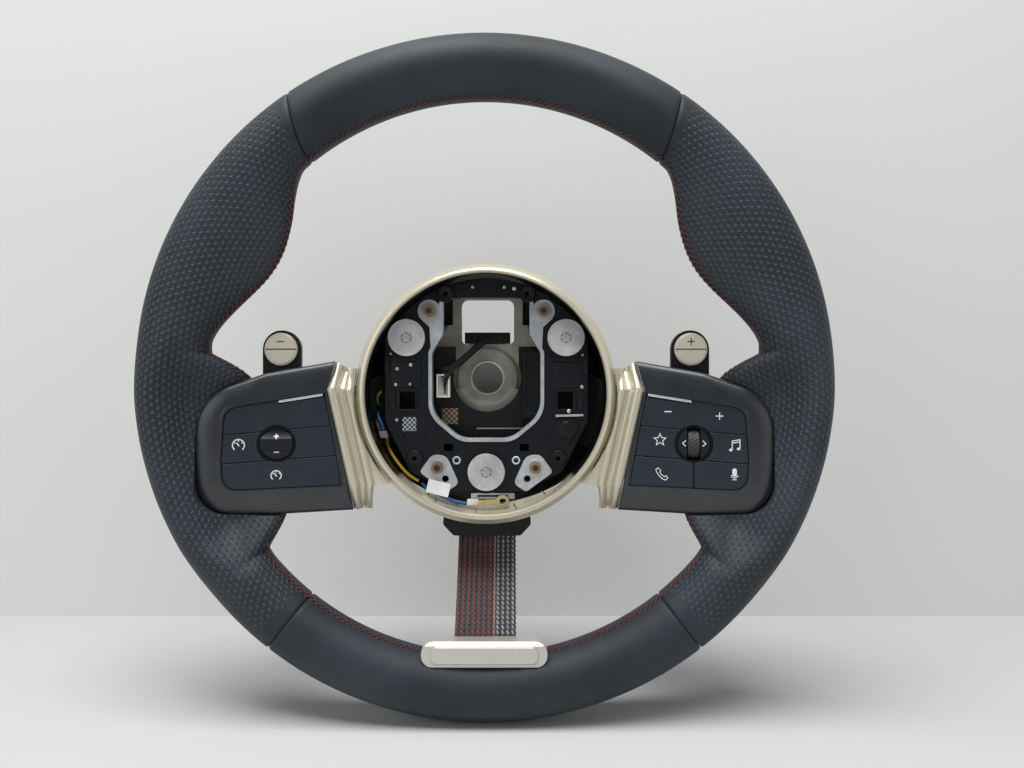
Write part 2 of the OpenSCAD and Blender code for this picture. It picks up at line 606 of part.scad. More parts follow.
// Badge seated in the inner front edge of the rim at six o'clock
badge_z = -(rim_r - 20.9);
badge_side = [[-1.8, 7.2], [-1.8, -3.4], [-7, -4.8], [-9.6, -7.2], [-12.6, -6.3], [-12.2, 4.6], [-9.6, 7]];
module badge_face(g) translate([0, badge_z]) polygon(rounded(box_of(-badge_w / 2 - g, -badge_h / 2 - g,
    badge_w / 2 + g, badge_h / 2 + g), [6 + g, 6 + g, 6 + g, 6 + g]));
module badge_room(g) placed() intersection() {
    slab(-30, 0) badge_face(g);
    translate([0, 0, badge_z]) across(-60, 60) polygon([[-30, 12], [-1.8 + g, 12], [-1.8 + g, -3.4 - g],
        [-7 + g, -4.8 - g], [-9.6 + g, -7.2 - g], [-30, -12]]);
}
module rim_badge() color([0.8, 0.78, 0.72]) placed() {
    intersection() {
        slab(-30, 0) badge_face(0);
        translate([0, 0, badge_z]) across(-60, 60) polygon(badge_side);
    }
    slab(-13.4, -12) translate([0, badge_z]) polygon(rounded(box_of(-badge_w / 2 + 5, -badge_h / 2 + 2,
        badge_w / 2 - 5, badge_h / 2 - 2.4), [3, 3, 3, 3]));
}

// Woven strap from the clip under the hub to the badge: rows of ridges in three columns
strap_path = smooth([[37.5, hub_low - 2], [36.6, hub_low - 8.5], [31, -98], [22, -110.5], [12, -123.5], [3.2, -133], [0, -138],
    [-0.6, -144]], 6);
function path_len(p, i) = i == 0 ? 0 : path_len(p, i - 1) + norm(p[i] - p[i - 1]);
function strap_side(s, phase) = [for (i = [0:len(strap_path) - 1])
    let (t = unit(strap_path[min(i + 1, len(strap_path) - 1)] - strap_path[max(i - 1, 0)]),
         w = strap_t / 2 + ((i + phase) % 2 == 0 ? 0.3 : 0) * (i > 6 ? 1 : 0))
    strap_path[i] + s * w * [-t.y, t.x]];
function reversed(l) = [for (i = [len(l) - 1:-1:0]) l[i]];
module strap_column(x0, x1, phase) across(x0, x1)
    polygon(concat(strap_side(1, phase), reversed(strap_side(-1, phase))));
module strap() color([0.35, 0.1, 0.12]) placed() {
    strap_column(-strap_w / 2, strap_w * 0.09, 0);
    strap_column(strap_w * 0.09, strap_w * 0.13, 3);
    strap_column(strap_w * 0.13, strap_w / 2, 1);
}

// Clip that holds the strap's upper end under the rear cover
module strap_clip() color([0.08, 0.08, 0.09]) placed() difference() {
    slab(ring_rear + 2, ring_rear + 13) polygon(rounded([[-19, hub_low - 9.9], [19, hub_low - 9.9], [25, hub_low - 3.5],
        [24, hub_low + 7.5], [-24, hub_low + 7.5], [-25, hub_low - 3.5]], [2.5, 2.5, 3, 0.5, 0.5, 3]));
    bar([0, -hub_drop], ring_r + 0.1, ring_rear, ring_rear + 20, fine);
    across(-strap_w / 2 - soft_gap, strap_w / 2 + soft_gap) translate([0, hub_low])
        polygon([[34.4, -12.5], [37.6, -12.5], [38.6, -6.5], [38.6, -1.7], [36.5, -1.7], [35.4, -8.5]]);
}

// Rear cover: a shell round the hub with an arch behind each spoke
cover_back = 62;
arch_outer = [[40, 64], [62, 56.5], [76, 46], [100, 34], [119, 29.5], [119, 26.6], [99, 26.6], [99, 22], [76, 24],
    [60, 24], [40, 40]];
arch_inner = [[30, 62], [61.2, 54.3], [75, 43.7], [99.4, 31.7], [125, 26.2], [125, 15], [30, 15]];
module cover_arch(profile, g) intersection() {
    upward(-90, 30) polygon(profile);
    slab(0, dish) polygon(inset([[30, -44], [72, -56], [100, -58], [119, -57], [119, -14], [99, -11], [76, -5],
        [30, 6]], g));
}
module rear_cover() color([0.09, 0.09, 0.1]) placed() difference() {
    union() {
        translate([0, 0, -hub_drop]) turned() polygon([[ring_r - 0.2, ring_rear], [ring_r - 0.8, ring_rear + 14],
            [66, 54], [57, 60], [49, cover_back], [8, cover_back], [8, cover_back - cover_t], [48, cover_back - cover_t],
            [55.6, 58.2], [64, 52.8], [ring_r - 3, ring_rear + 13.4], [ring_r - 2.4, ring_rear]]);
        for (s = [-1, 1]) on_side(s) difference() {
            cover_arch(arch_outer, 0);
            cover_arch(arch_inner, cover_t);
            translate([0, 0, -hub_drop]) bar([0, 0], ring_r - 2, ring_rear - 20, 50, fine);
            translate([0, 0, -hub_drop]) bar([0, 0], ring_r + 1.6, -5, ring_rear + eps, fine);
            slab(cover_back, dish + 5) polygon(box_of(30, -60, 120, 30));
        }
    }
    for (s = [-1, 1]) on_side(s) arm(1);
    bar([0, 0], cover_hole, boss_front, dish + 1, fine);
    slab(boss_front, dish + 1) polygon(rounded(box_of(-window_w / 2 - 1, 0, window_w / 2 + 1,
        window_z + window_h + 1), [0, 0, 4, 4]));
    for (p = screw_at) bar(p, 2.3, boss_front, dish);
}

// Screws that hold the rear cover to the armature
module cover_screws() color("silver") placed() for (p = screw_at) difference() {
    union() {
        bar(p, 4, cover_back, cover_back + 2.2);
        bar(p, 2, plate_back - 2.5, cover_back + eps);
    }
    slab(cover_back + 1, cover_back + 3) translate(p) circle(1.8, $fn = 6);
}

// Shift paddle behind a pod, hinged at its foot
hinge_depth = paddle_front + 4;
ear_w = 2.2;
barrel_w = 14;
module paddle(side) color([0.1, 0.1, 0.11]) placed() on_side(side) difference() {
    union() {
        slab(paddle_front, paddle_front + paddle_t) {
            translate([paddle_x, paddle_z]) circle(paddle_w, $fn = fine);
            polygon([[paddle_x - paddle_w, paddle_z], [paddle_x - paddle_w, 0], [paddle_x - 7, -4],
                [paddle_x - 7, -hinge_drop], [paddle_x + 7, -hinge_drop], [paddle_x + 7, -4],
                [paddle_x + paddle_w, 0], [paddle_x + paddle_w, paddle_z]]);
        }
        translate([paddle_x - barrel_w / 2, hinge_depth, -hinge_drop]) rotate([0, 90, 0])
            cylinder(r = 3, h = barrel_w, $fn = small);
    }
    translate([paddle_x - barrel_w, hinge_depth, -hinge_drop]) rotate([0, 90, 0])
        cylinder(r = pin_r + fit, h = 2 * barrel_w, $fn = small);
    bar([paddle_x, paddle_z], paddle_cap + 0.15, paddle_front - 1, paddle_front + 1);
}
module paddle_left() paddle(-1);
module paddle_right() paddle(1);

// Metal cap set into the face of a paddle, with a step across its middle
module cap(side) color([0.66, 0.65, 0.6]) placed() on_side(side) difference() {
    union() {
        bar([paddle_x, paddle_z], paddle_cap, paddle_front - 1.8, paddle_front + 1);
        bar([paddle_x, paddle_z], paddle_cap - 0.8, paddle_front - 2.4, paddle_front);
    }
    slab(paddle_front - 3, paddle_front - 2) translate([paddle_x, paddle_z])
        polygon(box_of(-20, -0.25, 20, 0.25));
}
module cap_left() cap(-1);
module cap_right() cap(1);

// Hinge pin of a paddle
module pin(side) color("silver") placed() on_side(side)
    translate([paddle_x - barrel_w / 2 - 0.3 - ear_w, hinge_depth, -hinge_drop]) rotate([0, 90, 0])
        cylinder(r = pin_r, h = barrel_w + 2 * (0.3 + ear_w), $fn = small);
module pin_left() pin(-1);
module pin_right() pin(1);

// Bracket with two ears that carries a paddle on top of a spoke arm
module bracket(side) color([0.15, 0.15, 0.16]) placed() on_side(side) difference() {
    union() {
        upward(-15.2, -13.6) polygon(box_of(paddle_x - barrel_w / 2 - 0.3 - ear_w, 18,
            paddle_x + barrel_w / 2 + 0.3 + ear_w, 26));
        for (s = [-1, 1]) translate([paddle_x + s * (barrel_w / 2 + 0.3 + ear_w / 2), 0, 0])
            across(-ear_w / 2, ear_w / 2) {
                polygon([[hinge_depth - 3, -hinge_drop], [18, -15.2], [26, -15.2], [hinge_depth + 3, -hinge_drop]]);
                translate([hinge_depth, -hinge_drop]) circle(3, $fn = small);
            }
    }
    translate([paddle_x - 20, hinge_depth, -hinge_drop]) rotate([0, 90, 0])
        cylinder(r = pin_r + fit, h = 40, $fn = small);
}
module bracket_left() bracket(-1);
module bracket_right() bracket(1);

// Outline of the opening inside the yoke's flange, grown by g
module yoke_opening(g) polygon(rounded(inset([[-14, -33.4], [14, -33.4], [30, -20], [30, 14], [24, 24], [24, 42],
    [-24, 42], [-24, 24], [-30, 14], [-30, -20]], -g), [14, 14, 16, 6, 6, 3, 3, 6, 6, 16]));

// Ears of the yoke with their screw holes, grown by g
module yoke_ears(g) for (s = [-1, 1]) mirror([s < 0 ? 1 : 0, 0]) {
    translate(ear_at[0]) circle(6.3 + g, $fn = small);
    polygon(inset([[25.4, 12], [30.6, 12], [31.4, 28], [36.8, 33], [37.2, 38], [27, 41], [25.4, 30]], -g));
    polygon(rounded(inset([[15, -58.4], [22, -63], [37, -52], [30, -42.4], [22, -42.8]], -g), [3, 2, 2, 5, 6]));
}

// Zinc-plated steel yoke that holds the airbag: web, upstanding flange and four ears
web_front = horn_front + horn_t;
module airbag_yoke() color([0.69, 0.72, 0.75]) placed() difference() {
    union() {
        slab(web_front + 0.3, web_front + 1.8) difference() {
            union() {
                yoke_opening(4);
                yoke_ears(0);
                polygon([[-30, -30], [-34, -52], [-18, -60], [18, -60], [34, -52], [30, -30]]);
            }
            yoke_opening(0);
            for (p = disc_at) translate(p) circle(8.5, $fn = small);
            polygon(box_of(-24, 30, 24, 60));
            for (s = [-1, 1]) translate([s * 21, -38.5]) square([7, 6], center = true);
        }
        slab(horn_front - 1, web_front + 1) difference() {
            yoke_opening(2);
            yoke_opening(0);
            polygon(box_of(-24, 30, 24, 60));
        }
        slab(horn_front - 1, web_front + 1) difference() {
            yoke_ears(0);
            yoke_opening(0);
        }
    }
    for (s = [-1, 1], p = ear_at) bar([s * p.x, p.y], bolt_r + fit, 0, dish);
    for (s = [-1, 1]) bar([s * 22.6, -55.8], 1.9, 0, dish);
}

// Copper-coloured bolts through the yoke's ears
module yoke_bolts() color([0.62, 0.45, 0.3]) placed() for (s = [-1, 1], p = ear_at) difference() {
    union() {
        bar([s * p.x, p.y], 3.3, horn_front - 3.2, horn_front - 1);
        bar([s * p.x, p.y], bolt_r, horn_front - 2, web_front + 3);
    }
    slab(horn_front - 4, horn_front - 2) translate([s * p.x, p.y]) circle(1.6, $fn = 6);
}

// Black plastic horn carrier, which moves back on the three shouldered screws
module horn_carrier() color([0.07, 0.07, 0.08]) placed() difference() {
    union() {
        slab(horn_front, web_front) polygon(rounded([[-20, -63], [20, -63], [42, -52], [56, -24], [56, 22],
            [44, 37.5], [33, 46], [20, 52], [-20, 52], [-33, 46], [-44, 37.5], [-56, 22], [-56, -24], [-42, -52]],
            [6, 6, 6, 8, 6, 6, 6, 4, 4, 6, 6, 6, 8, 6]));
        intersection() {
            for (p = disc_at) bar(p, 12, horn_front - 1, web_front);
            bar([0, -hub_drop], ring_in - 1.4, 0, dish, fine);
        }
        for (s = [-1, 1], p = [[22.6, 46.5], [39.6, -44.6]]) bar([s * p.x, p.y], 4.2, horn_front - 1.2, web_front);
    }
    slab(0, dish) yoke_opening(2.3);
    slab(0, dish) yoke_ears(0.3);
    slab(0, dish) for (s = [-1, 1]) translate([s * 43.6, -12.4]) square([8.6, 9.6], center = true);
    slab(0, dish) for (s = [-1, 1]) translate([s * 21, -38.5]) square([5, 4], center = true);
    for (p = disc_at) bar(p, shoulder_r + fit, 0, dish);
    for (p = disc_at) bar(p, disc_r + 0.8, 0, horn_front - 0.4);
    for (s = [-1, 1], p = [[22.6, 46.5], [39.6, -44.6]]) bar([s * p.x, p.y], 1.2, 0, web_front - 1);
    for (s = [-1, 1]) bar([s * 16.4, -45.6], 1.4, 0, dish);
}

// Shouldered screws with broad disc heads that carry the horn carrier
disc_back = horn_front - 0.4;
module horn_screws() color([0.65, 0.64, 0.63]) placed() for (p = disc_at) difference() {
    union() {
        bar(p, disc_r, disc_back - disc_t, disc_back);
        bar(p, shoulder_r, disc_back - eps, web_front + horn_travel + 0.3);
        bar(p, 2.45, web_front + horn_travel, plate_front + 3);
    }
    bar(p, 3.2, disc_back - disc_t - 1, disc_back - disc_t + 0.6);
    slab(disc_back - disc_t - 1, disc_back - 0.4) translate(p) for (a = [0:60:120]) rotate(a) square([4.4, 1.5], center = true);
}

// Coil springs between the armature and the horn carrier
module horn_springs() color("silver") placed() for (p = disc_at) {
    turns = 4;
    h0 = web_front + 0.8;
    h1 = plate_front - 0.8;
    translate([p.x, 0, p.y]) tube([for (i = [0:12 * turns])
        [6.6 * cos(30 * i), h0 + (h1 - h0) * i / (12 * turns), 6.6 * sin(30 * i)]], 0.5, 5);
}

// Black tray behind the yoke's opening, which carries the plug and the control box
module inner_tray() color([0.06, 0.06, 0.07]) placed() {
    slab(tray_front, tray_front + 2) difference() {
        polygon(rounded([[-32, 18], [-32, -28], [-18, -37], [18, -37], [32, -28], [32, 18]], [2, 6, 6, 6, 6, 2]));
        circle(boss_r + 1.4, $fn = fine);
        polygon(box_of(-18, 0, 18, 60));
    }
    for (s = [-1, 1], p = [[27, 10], [19, -27]]) bar([s * p.x, p.y], 2, tray_front + 1, plate_front - 0.2 * (p.x - 18) - 0.3);
}
module control_box() color([0.05, 0.05, 0.06]) placed() difference() {
    slab(tray_front - 5, tray_front) polygon(rounded(box_of(20.6, -23, 30.4, 15), [1, 1, 1, 1]));
    slab(tray_front - 6, tray_front - 4.5) polygon(box_of(22.4, -20, 28.6, 12));
}
module white_plug() color("whitesmoke") placed() difference() {
    slab(tray_front - 7, tray_front) polygon(box_of(-28.4, -11, -20.9, 2.2));
    slab(tray_front - 8, tray_front - 3) polygon(box_of(-27.4, -10, -21.9, 1.2));
}

// Plug across the foot of the window, and the taped harness from it to the white plug
module window_plug() color([0.04, 0.04, 0.05]) placed() {
    slab(plate_front - 4, plate_front + 4) polygon(box_of(-13.2, window_z + 0.3, 13.2, window_z + 6.6));
    slab(plate_front - 5.2, plate_front - 3.9) for (i = [-3:3])
        polygon(box_of(i * 3.6 - 1.2, window_z + 1.6, i * 3.6 + 1.2, window_z + 5.4));
}
harness_route = smooth([[-1, 39.7, 22], [-6, 36.2, 17.5], [-13, 33.2, 11], [-18.5, 31.4, 6.6],
    [-24.6, 31, 4.5]], 3);
module taped_harness() color([0.05, 0.05, 0.05]) placed() tube(harness_route, 2, 8);

// Leads and plugs in the gap between the horn carrier and the trim ring
yellow_route = smooth([[-57.2, 36.5, -33], [-56.6, 32.4, -36.4], [-54.4, 28.4, -40.6], [-50.6, 26, -46],
    [-45.8, 24.6, -51.6], [-41.6, 24.2, -54.9], [-37.8, 24.6, -57.3]], 3);
blue_route = smooth([[-36, 25.2, -58.6], [-31, 24, -62.5], [-24, 22.6, -65.4], [-17.5, 22.6, -68.4], [-11, 23, -69.6]], 3);
module yellow_lead() color("gold") placed() tube(yellow_route, 0.9, 8);
module blue_leads() color("royalblue") placed() for (s = [0, 1])
    translate([0, 2 * s, -0.6 * s]) tube(blue_route, 0.9, 8);
module lead_tag() color("white") placed() slab(19.7, 20.2)
    translate([-26.4, -60.8]) rotate(-14) square([12.6, 7.6], center = true);
module ground_terminal() color([0.72, 0.68, 0.5]) placed() {
    slab(22.4, 23.6) difference() {
        union() {
            translate([9, -68.4]) circle(3.6, $fn = small);
            polygon(box_of(-1, -69.8, 8, -67.4));
        }
        translate([9, -68.4]) circle(1.7, $fn = small);
    }
    slab(21.8, 24.4) polygon(box_of(-10.6, -70.6, -1, -67.7));
}
module ground_bar() color("silver") placed() slab(23.9, 30) difference() {
    polygon(box_of(-8.6, -67.4, 15.6, -64));
    polygon(box_of(-5, -66.2, 12, -65.2));
}
pod_routes = [[[-61, 34.6, -15], [-61.4, 30, -14], [-61.2, 27, -11.5], [-60.2, 25, -9], [-58.6, 24.6, -7.6]],
    [[-61, 34.6, -19], [-61.2, 30, -19.6], [-60.4, 26.6, -22], [-58.4, 25, -26], [-57.4, 25, -29.2]],
    [[-61, 34.6, -23], [-61.6, 30.4, -23.4], [-61.4, 27.4, -25], [-60.4, 25.6, -27.2], [-59.5, 25.2, -29.2]]];
module pod_wires() color("navy") placed() for (r = pod_routes) tube(smooth(r, 2), 0.9, 6);
module pod_plug() color([0.5, 0.46, 0.47]) placed() slab(22.6, 28)
    polygon([[-60, -29.6], [-58.8, -33.4], [-54.6, -33.4], [-55.4, -29.6]]);

armature();
rim_foam();
leather_top();
leather_left();
leather_right();
leather_bottom();
rim_badge();
strap();
strap_clip();
hub_ring();
wing_left();
wing_right();
rear_cover();
cover_screws();
pod_left();
pod_right();
board_left();
board_right();
light_left();
light_right();
set_key();
cruise_key();
spare_key();
mode_key();
speed_rocker();
volume_key();
star_key();
note_key();
phone_key();
voice_key();
back_key();
next_key();
scroll_roller();
roller_axle();
paddle_left();
paddle_right();
cap_left();
cap_right();
pin_left();
pin_right();
bracket_left();
bracket_right();
horn_carrier();
airbag_yoke();
yoke_bolts();
horn_screws();
horn_springs();
inner_tray();
control_box();
window_plug();
taped_harness();
white_plug();
yellow_lead();
blue_leads();
lead_tag();
ground_terminal();
ground_bar();
pod_wires();
pod_plug();
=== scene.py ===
"""Car steering wheel with a leather rim, two switch pods and an open airbag well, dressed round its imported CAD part."""

import json
import math

import bmesh
import bpy
import numpy as np
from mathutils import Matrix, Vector
from mathutils.geometry import tessellate_polygon

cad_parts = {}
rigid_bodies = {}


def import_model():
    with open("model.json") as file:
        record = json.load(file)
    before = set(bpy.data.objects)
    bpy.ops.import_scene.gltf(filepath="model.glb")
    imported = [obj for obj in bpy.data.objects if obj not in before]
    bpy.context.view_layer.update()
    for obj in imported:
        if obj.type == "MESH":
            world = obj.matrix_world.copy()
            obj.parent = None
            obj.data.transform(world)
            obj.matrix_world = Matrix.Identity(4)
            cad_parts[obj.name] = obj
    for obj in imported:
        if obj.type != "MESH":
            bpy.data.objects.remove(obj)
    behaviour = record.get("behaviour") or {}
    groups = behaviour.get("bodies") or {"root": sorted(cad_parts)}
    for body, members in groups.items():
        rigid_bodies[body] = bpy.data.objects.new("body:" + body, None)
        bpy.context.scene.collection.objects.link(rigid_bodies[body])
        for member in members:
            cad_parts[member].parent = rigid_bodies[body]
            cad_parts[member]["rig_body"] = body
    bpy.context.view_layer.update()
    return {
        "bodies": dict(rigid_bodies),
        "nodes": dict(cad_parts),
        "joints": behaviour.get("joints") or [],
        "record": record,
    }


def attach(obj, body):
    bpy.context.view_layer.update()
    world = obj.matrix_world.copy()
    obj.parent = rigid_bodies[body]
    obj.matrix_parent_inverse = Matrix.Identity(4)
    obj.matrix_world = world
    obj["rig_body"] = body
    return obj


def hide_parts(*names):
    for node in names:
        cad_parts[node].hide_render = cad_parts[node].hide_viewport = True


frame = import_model()
cad = frame["nodes"]

# Sizes in millimetres and angles in degrees, repeated from the part's source, but the pods' tilt is in radians.
# Depths run backward from the rim's mid-plane.
DISH = 70.0
RIM_R, RIM_W, RIM_D, SWELL = 163.0, 17.0, 17.5, 2.5
LEATHER_T, SOFT_GAP = 1.4, 0.3
UPPER_SEAM, LOWER_SEAM, SEAM_SLANT = 53.25, 51.3, 2.25
LOBE_DEPTH, LOBE_AT, LOBE_SPAN = 21.6, 29.0, 22.0
ROOT_R, ROOT_AT, ROOT_SPAN, ROOT_BACK, CREST_OUT = 121.8, 16.5, 21.5, 15.0, 8.0
HUB_DROP, RING_R = 8.6, 70.9
POD_X, POD_FRONT, POD_TILT, POD_T = 72.0, 6.0, math.radians(10), 10.0
DIAL = (38.4, -35.0)
STRAP_HALF = 16.0
DISC_AT = [(-44, 22.2), (44, 22.2), (0, -52)]
EAR_AT = [(31.6, 37), (-31.6, 37), (27.1, -49.7), (-27.1, -49.7)]
SIDES = ((-1, "left"), (1, "right"))

# Leather pattern, in metres: radius that turns an angle into a length, and the length at the outermost line.
UV_RADIUS, UV_MIDDLE = 0.155, 0.055


def unit(v):
    return v / np.linalg.norm(v)


def at(x, depth, z):
    """Point in the row frame, in metres, for millimetres behind the rim's mid-plane."""
    return (x / 1000, (depth - DISH) / 1000, z / 1000)


def in_pod(side, u, depth, z):
    """Point in the row frame for a place in a pod's own frame: u outward, depth behind its front."""
    c, s = math.cos(POD_TILT), math.sin(POD_TILT)
    return at(side * (POD_X + u * c + depth * s), POD_FRONT - u * s + depth * c, z)


def on_side(side):
    """Placing function for shapes that are drawn for the right side of the wheel."""
    return lambda x, depth, z: at(side * x, depth, z)


def on_pod(side):
    """Placing function for shapes that are drawn in a pod's own frame."""
    return lambda u, depth, z: in_pod(side, u, depth, z)


def polar(centre, radius, degrees):
    """Point on a circle."""
    t = math.radians(degrees)
    return centre[0] + radius * math.cos(t), centre[1] + radius * math.sin(t)


def arc(centre, radius, start, end, count=20):
    """Points along a circle from one angle to another, in degrees."""
    return [polar(centre, radius, start + (end - start) * i / count) for i in range(count + 1)]


def circle(centre, radius, count=64):
    return arc(centre, radius, 0, 360, count)[:-1]


def star(centre, outer, inner, points, start=0.0):
    """Outline of a star with so many points."""
    return [polar(centre, inner if i % 2 else outer, start + 180 * i / points) for i in range(2 * points)]


def box(x0, z0, x1, z1):
    """Corners of a rectangle, counter-clockwise."""
    return [(x0, z0), (x1, z0), (x1, z1), (x0, z1)]


def skin(rows, columns, capped=False):
    """Faces over rows of points, each row a loop. The last row joins the first, or both ends are capped."""
    faces = [[i * columns + j, i * columns + (j + 1) % columns,
              (i + 1) % rows * columns + (j + 1) % columns, (i + 1) % rows * columns + j]
             for i in range(rows - 1 if capped else rows) for j in range(columns)]
    return faces + [list(range(columns)), [(rows - 1) * columns + j for j in range(columns)]] if capped else faces


# ---- rim law ----


def folded(a):
    """Angle on the right half of the rim, from -90 to 90 degrees, that mirrors the given one."""
    b = a % 360
    return b - 360 if b > 270 else 180 - b if b > 90 else b


def step(x):
    """Smooth step from 0 to 1."""
    y = np.clip(x, 0, 1)
    return y * y * (3 - 2 * y)


def lobe(a):
    """How far a thumb lobe has swelled at angle a, from 0 to 1."""
    x = abs(folded(a) - LOBE_AT) / LOBE_SPAN
    return (1 - x * x) ** 1.5 if x < 1 else 0.0


def root(a):
    """How far the rim has run in along a spoke at angle a, from 0 to 1."""
    x = abs(folded(a) + ROOT_AT) / ROOT_SPAN
    return 1 - x ** 6 if x < 1 else 0.0


def lean(a):
    """How far the section leans back behind a pod at angle a, from 0 to 1."""
    return float(step(2 - 2 * abs(folded(a) + ROOT_AT) / (ROOT_SPAN + 3)))


def slant_at(a):
    """Slant of the section near the upper seams, in degrees."""
    return math.copysign(SEAM_SLANT, math.cos(math.radians(a))) * max(0.0, 1 - abs(folded(a) - UPPER_SEAM) / 14)


def rim_point(a, turns, gap):
    """Points of the rim's section at angle a, for an array of section angles in degrees, shrunk by gap."""
    t = np.radians(turns)
    ro = RIM_R + RIM_W + SWELL * math.cos(math.radians(a)) ** 2 - gap
    ri = RIM_R - RIM_W - LOBE_DEPTH * lobe(a) - (RIM_R - RIM_W - ROOT_R) * root(a) + gap
    crest, back = RIM_R + CREST_OUT * lean(a), ROOT_BACK * lean(a)
    x = np.maximum(0, -np.cos(t))
    r = np.where(np.cos(t) > 0, crest + (ro - crest) * np.cos(t), crest - (crest - ri) * x)
    d = (RIM_D - gap) * np.sin(t) * (1 - 0.45 * lobe(a) * x * x) + back * step(np.where(np.sin(t) < 0, x / 0.42, x))
    b = np.radians(a + slant_at(a) * np.cos(t))
    return np.stack([r * np.cos(b), d, r * np.sin(b)], 1)


def lengths(line):
    """Length along a line at each of its points."""
    return np.concatenate([[0], np.cumsum(np.linalg.norm(np.diff(line, axis=0), axis=1))])


def closed(line):
    """The line's points with the first one again at the end."""
    return np.array([*line, line[0]])


def places_on(line, where):
    """Points of a line at the lengths along it."""
    return np.stack([np.interp(where, lengths(line), axis) for axis in line.T], 1)


def half_length(a):
    """Length of leather from the outermost to the innermost line of the section at angle a, in metres."""
    return float(lengths(rim_point(a, np.linspace(0, 180, 60), 0.0))[-1]) / 1000


# ---- shader maths ----


class Value:
    """A shader socket that takes part in Python arithmetic."""

    def __init__(self, finish, socket):
        self.finish, self.socket = finish, socket

    def _with(self, operation, *others):
        return self.finish.node("ShaderNodeMath", {"operation": operation}, *others)

    def __add__(self, other):
        return self._with("ADD", self, other)

    __radd__ = __add__

    def __sub__(self, other):
        return self._with("SUBTRACT", self, other)

    def __rsub__(self, other):
        return self._with("SUBTRACT", other, self)

    def __mul__(self, other):
        return self._with("MULTIPLY", self, other)

    __rmul__ = __mul__

    def __truediv__(self, other):
        return self._with("DIVIDE", self, other)

    def __pow__(self, other):
        return self._with("POWER", self, other)

    def fract(self):
        return self._with("FRACT", self)

    def floor(self):
        return self._with("FLOOR", self)

    def modulo(self, other):
        return self._with("MODULO", self, other)

    def absolute(self):
        return self._with("ABSOLUTE", self)

    def root(self):
        return self._with("SQRT", self)

    def sine(self):
        return self._with("SINE", self)

    def least(self, other):
        return self._with("MINIMUM", self, other)

    def most(self, other):
        return self._with("MAXIMUM", self, other)

    def between(self, low, high):
        """0 at low, 1 at high, smooth between them."""
        return self.finish.node("ShaderNodeMapRange", {"interpolation_type": "SMOOTHSTEP"}, self, low, high, 0.0, 1.0)


class Finish:
    """A material built node by node round one Principled BSDF."""

    def __init__(self, name, color, roughness, metallic=0.0, level=0.5, **constants):
        self.material = bpy.data.materials.new(name)
        self.material.use_nodes = True
        self.nodes, self.links = self.material.node_tree.nodes, self.material.node_tree.links
        self.surface = self.nodes["Principled BSDF"]
        self.material.diffuse_color = (*color, 1)
        self.color = color
        self.set("Base Color", (*color, 1)).set("Roughness", roughness).set("Metallic", metallic)
        self.set("Specular IOR Level", level)
        for key, value in constants.items():
            self.set(key.replace("_", " ").title(), value)

    @classmethod
    def of(cls, material):
        """Handle on a finished material, for a further coat."""
        made = cls.__new__(cls)
        made.material, made.nodes, made.links = material, material.node_tree.nodes, material.node_tree.links
        made.surface = made.nodes["Principled BSDF"]
        return made

    def node(self, kind, settings, *values, out=0, **named):
        """Adds a node. Its settings come first, then its inputs by order or by name."""
        made = self.nodes.new(kind)
        for key, value in settings.items():
            setattr(made, key, value)
        for socket, value in [*zip(made.inputs, values), *((made.inputs[k], v) for k, v in named.items())]:
            self.join(socket, value)
        return Value(self, made.outputs[out])

    def join(self, socket, value):
        if isinstance(value, Value):
            self.links.new(value.socket, socket)
        elif value is not None:
            socket.default_value = value

    def set(self, name, value):
        self.join(self.surface.inputs[name], value)
        return self

    def place(self):
        return self.node("ShaderNodeTexCoord", {}, out=3)

    def uv(self):
        """The piece's own UV map as two values in metres."""
        split = self.nodes.new("ShaderNodeSeparateXYZ")
        self.join(split.inputs[0], self.node("ShaderNodeTexCoord", {}, out=2))
        return Value(self, split.outputs[0]), Value(self, split.outputs[1])

    def axes(self):
        """The place on the piece as three values in metres."""
        split = self.nodes.new("ShaderNodeSeparateXYZ")
        self.join(split.inputs[0], self.place())
        return [Value(self, o) for o in split.outputs]

    def noise(self, scale, detail=3.0, roughness=0.55):
        return self.node("ShaderNodeTexNoise", {}, Vector=self.place(), Scale=scale, Detail=detail, Roughness=roughness)

    def cells(self, scale, feature="F1"):
        return self.node("ShaderNodeTexVoronoi", {"feature": feature}, Vector=self.place(), Scale=scale)

    def blend(self, factor, a, b):
        """Colour that goes from a to b as factor goes from 0 to 1."""
        made = self.nodes.new("ShaderNodeMix")
        made.data_type = "RGBA"
        self.join(made.inputs[0], factor)
        for socket, value in ((made.inputs[6], a), (made.inputs[7], b)):
            self.join(socket, value if isinstance(value, Value) else (*value, 1))
        return Value(self, made.outputs[2])

    def relief(self, height, distance, strength=1.0, under=None):
        bump = self.nodes.new("ShaderNodeBump")
        self.join(bump.inputs["Height"], height)
        bump.inputs["Distance"].default_value = distance
        bump.inputs["Strength"].default_value = strength
        if under is not None:
            self.join(bump.inputs["Normal"], under)
        return Value(self, bump.outputs[0])

    def over(self, name, mask, value):
        """Lays a colour, or a number, over what the socket holds where mask is 1."""
        socket = self.surface.inputs[name]
        if name == "Base Color":
            return self.set(name, self.blend(mask, Value(self, socket.links[0].from_socket), value))
        return self.set(name, mask * value + (1 - mask) * socket.default_value)

    def textured(self, grain, depth, vary=0.12, rough=0.06, spots=60.0):
        """Fine grain of so many cells a metre and so deep, with a slow change of tone and gloss."""
        tone = self.noise(spots)
        dark = [c * (1 - vary) for c in self.color]
        pale = [min(1, c * (1 + vary)) for c in self.color]
        self.set("Base Color", self.blend(tone.between(0.3, 0.7), dark, pale))
        middle = self.surface.inputs["Roughness"].default_value
        self.set("Roughness", self.noise(spots * 2.3) * rough * 2 + (middle - rough))
        self.set("Normal", self.relief(self.noise(grain, 2.0), depth))
        return self


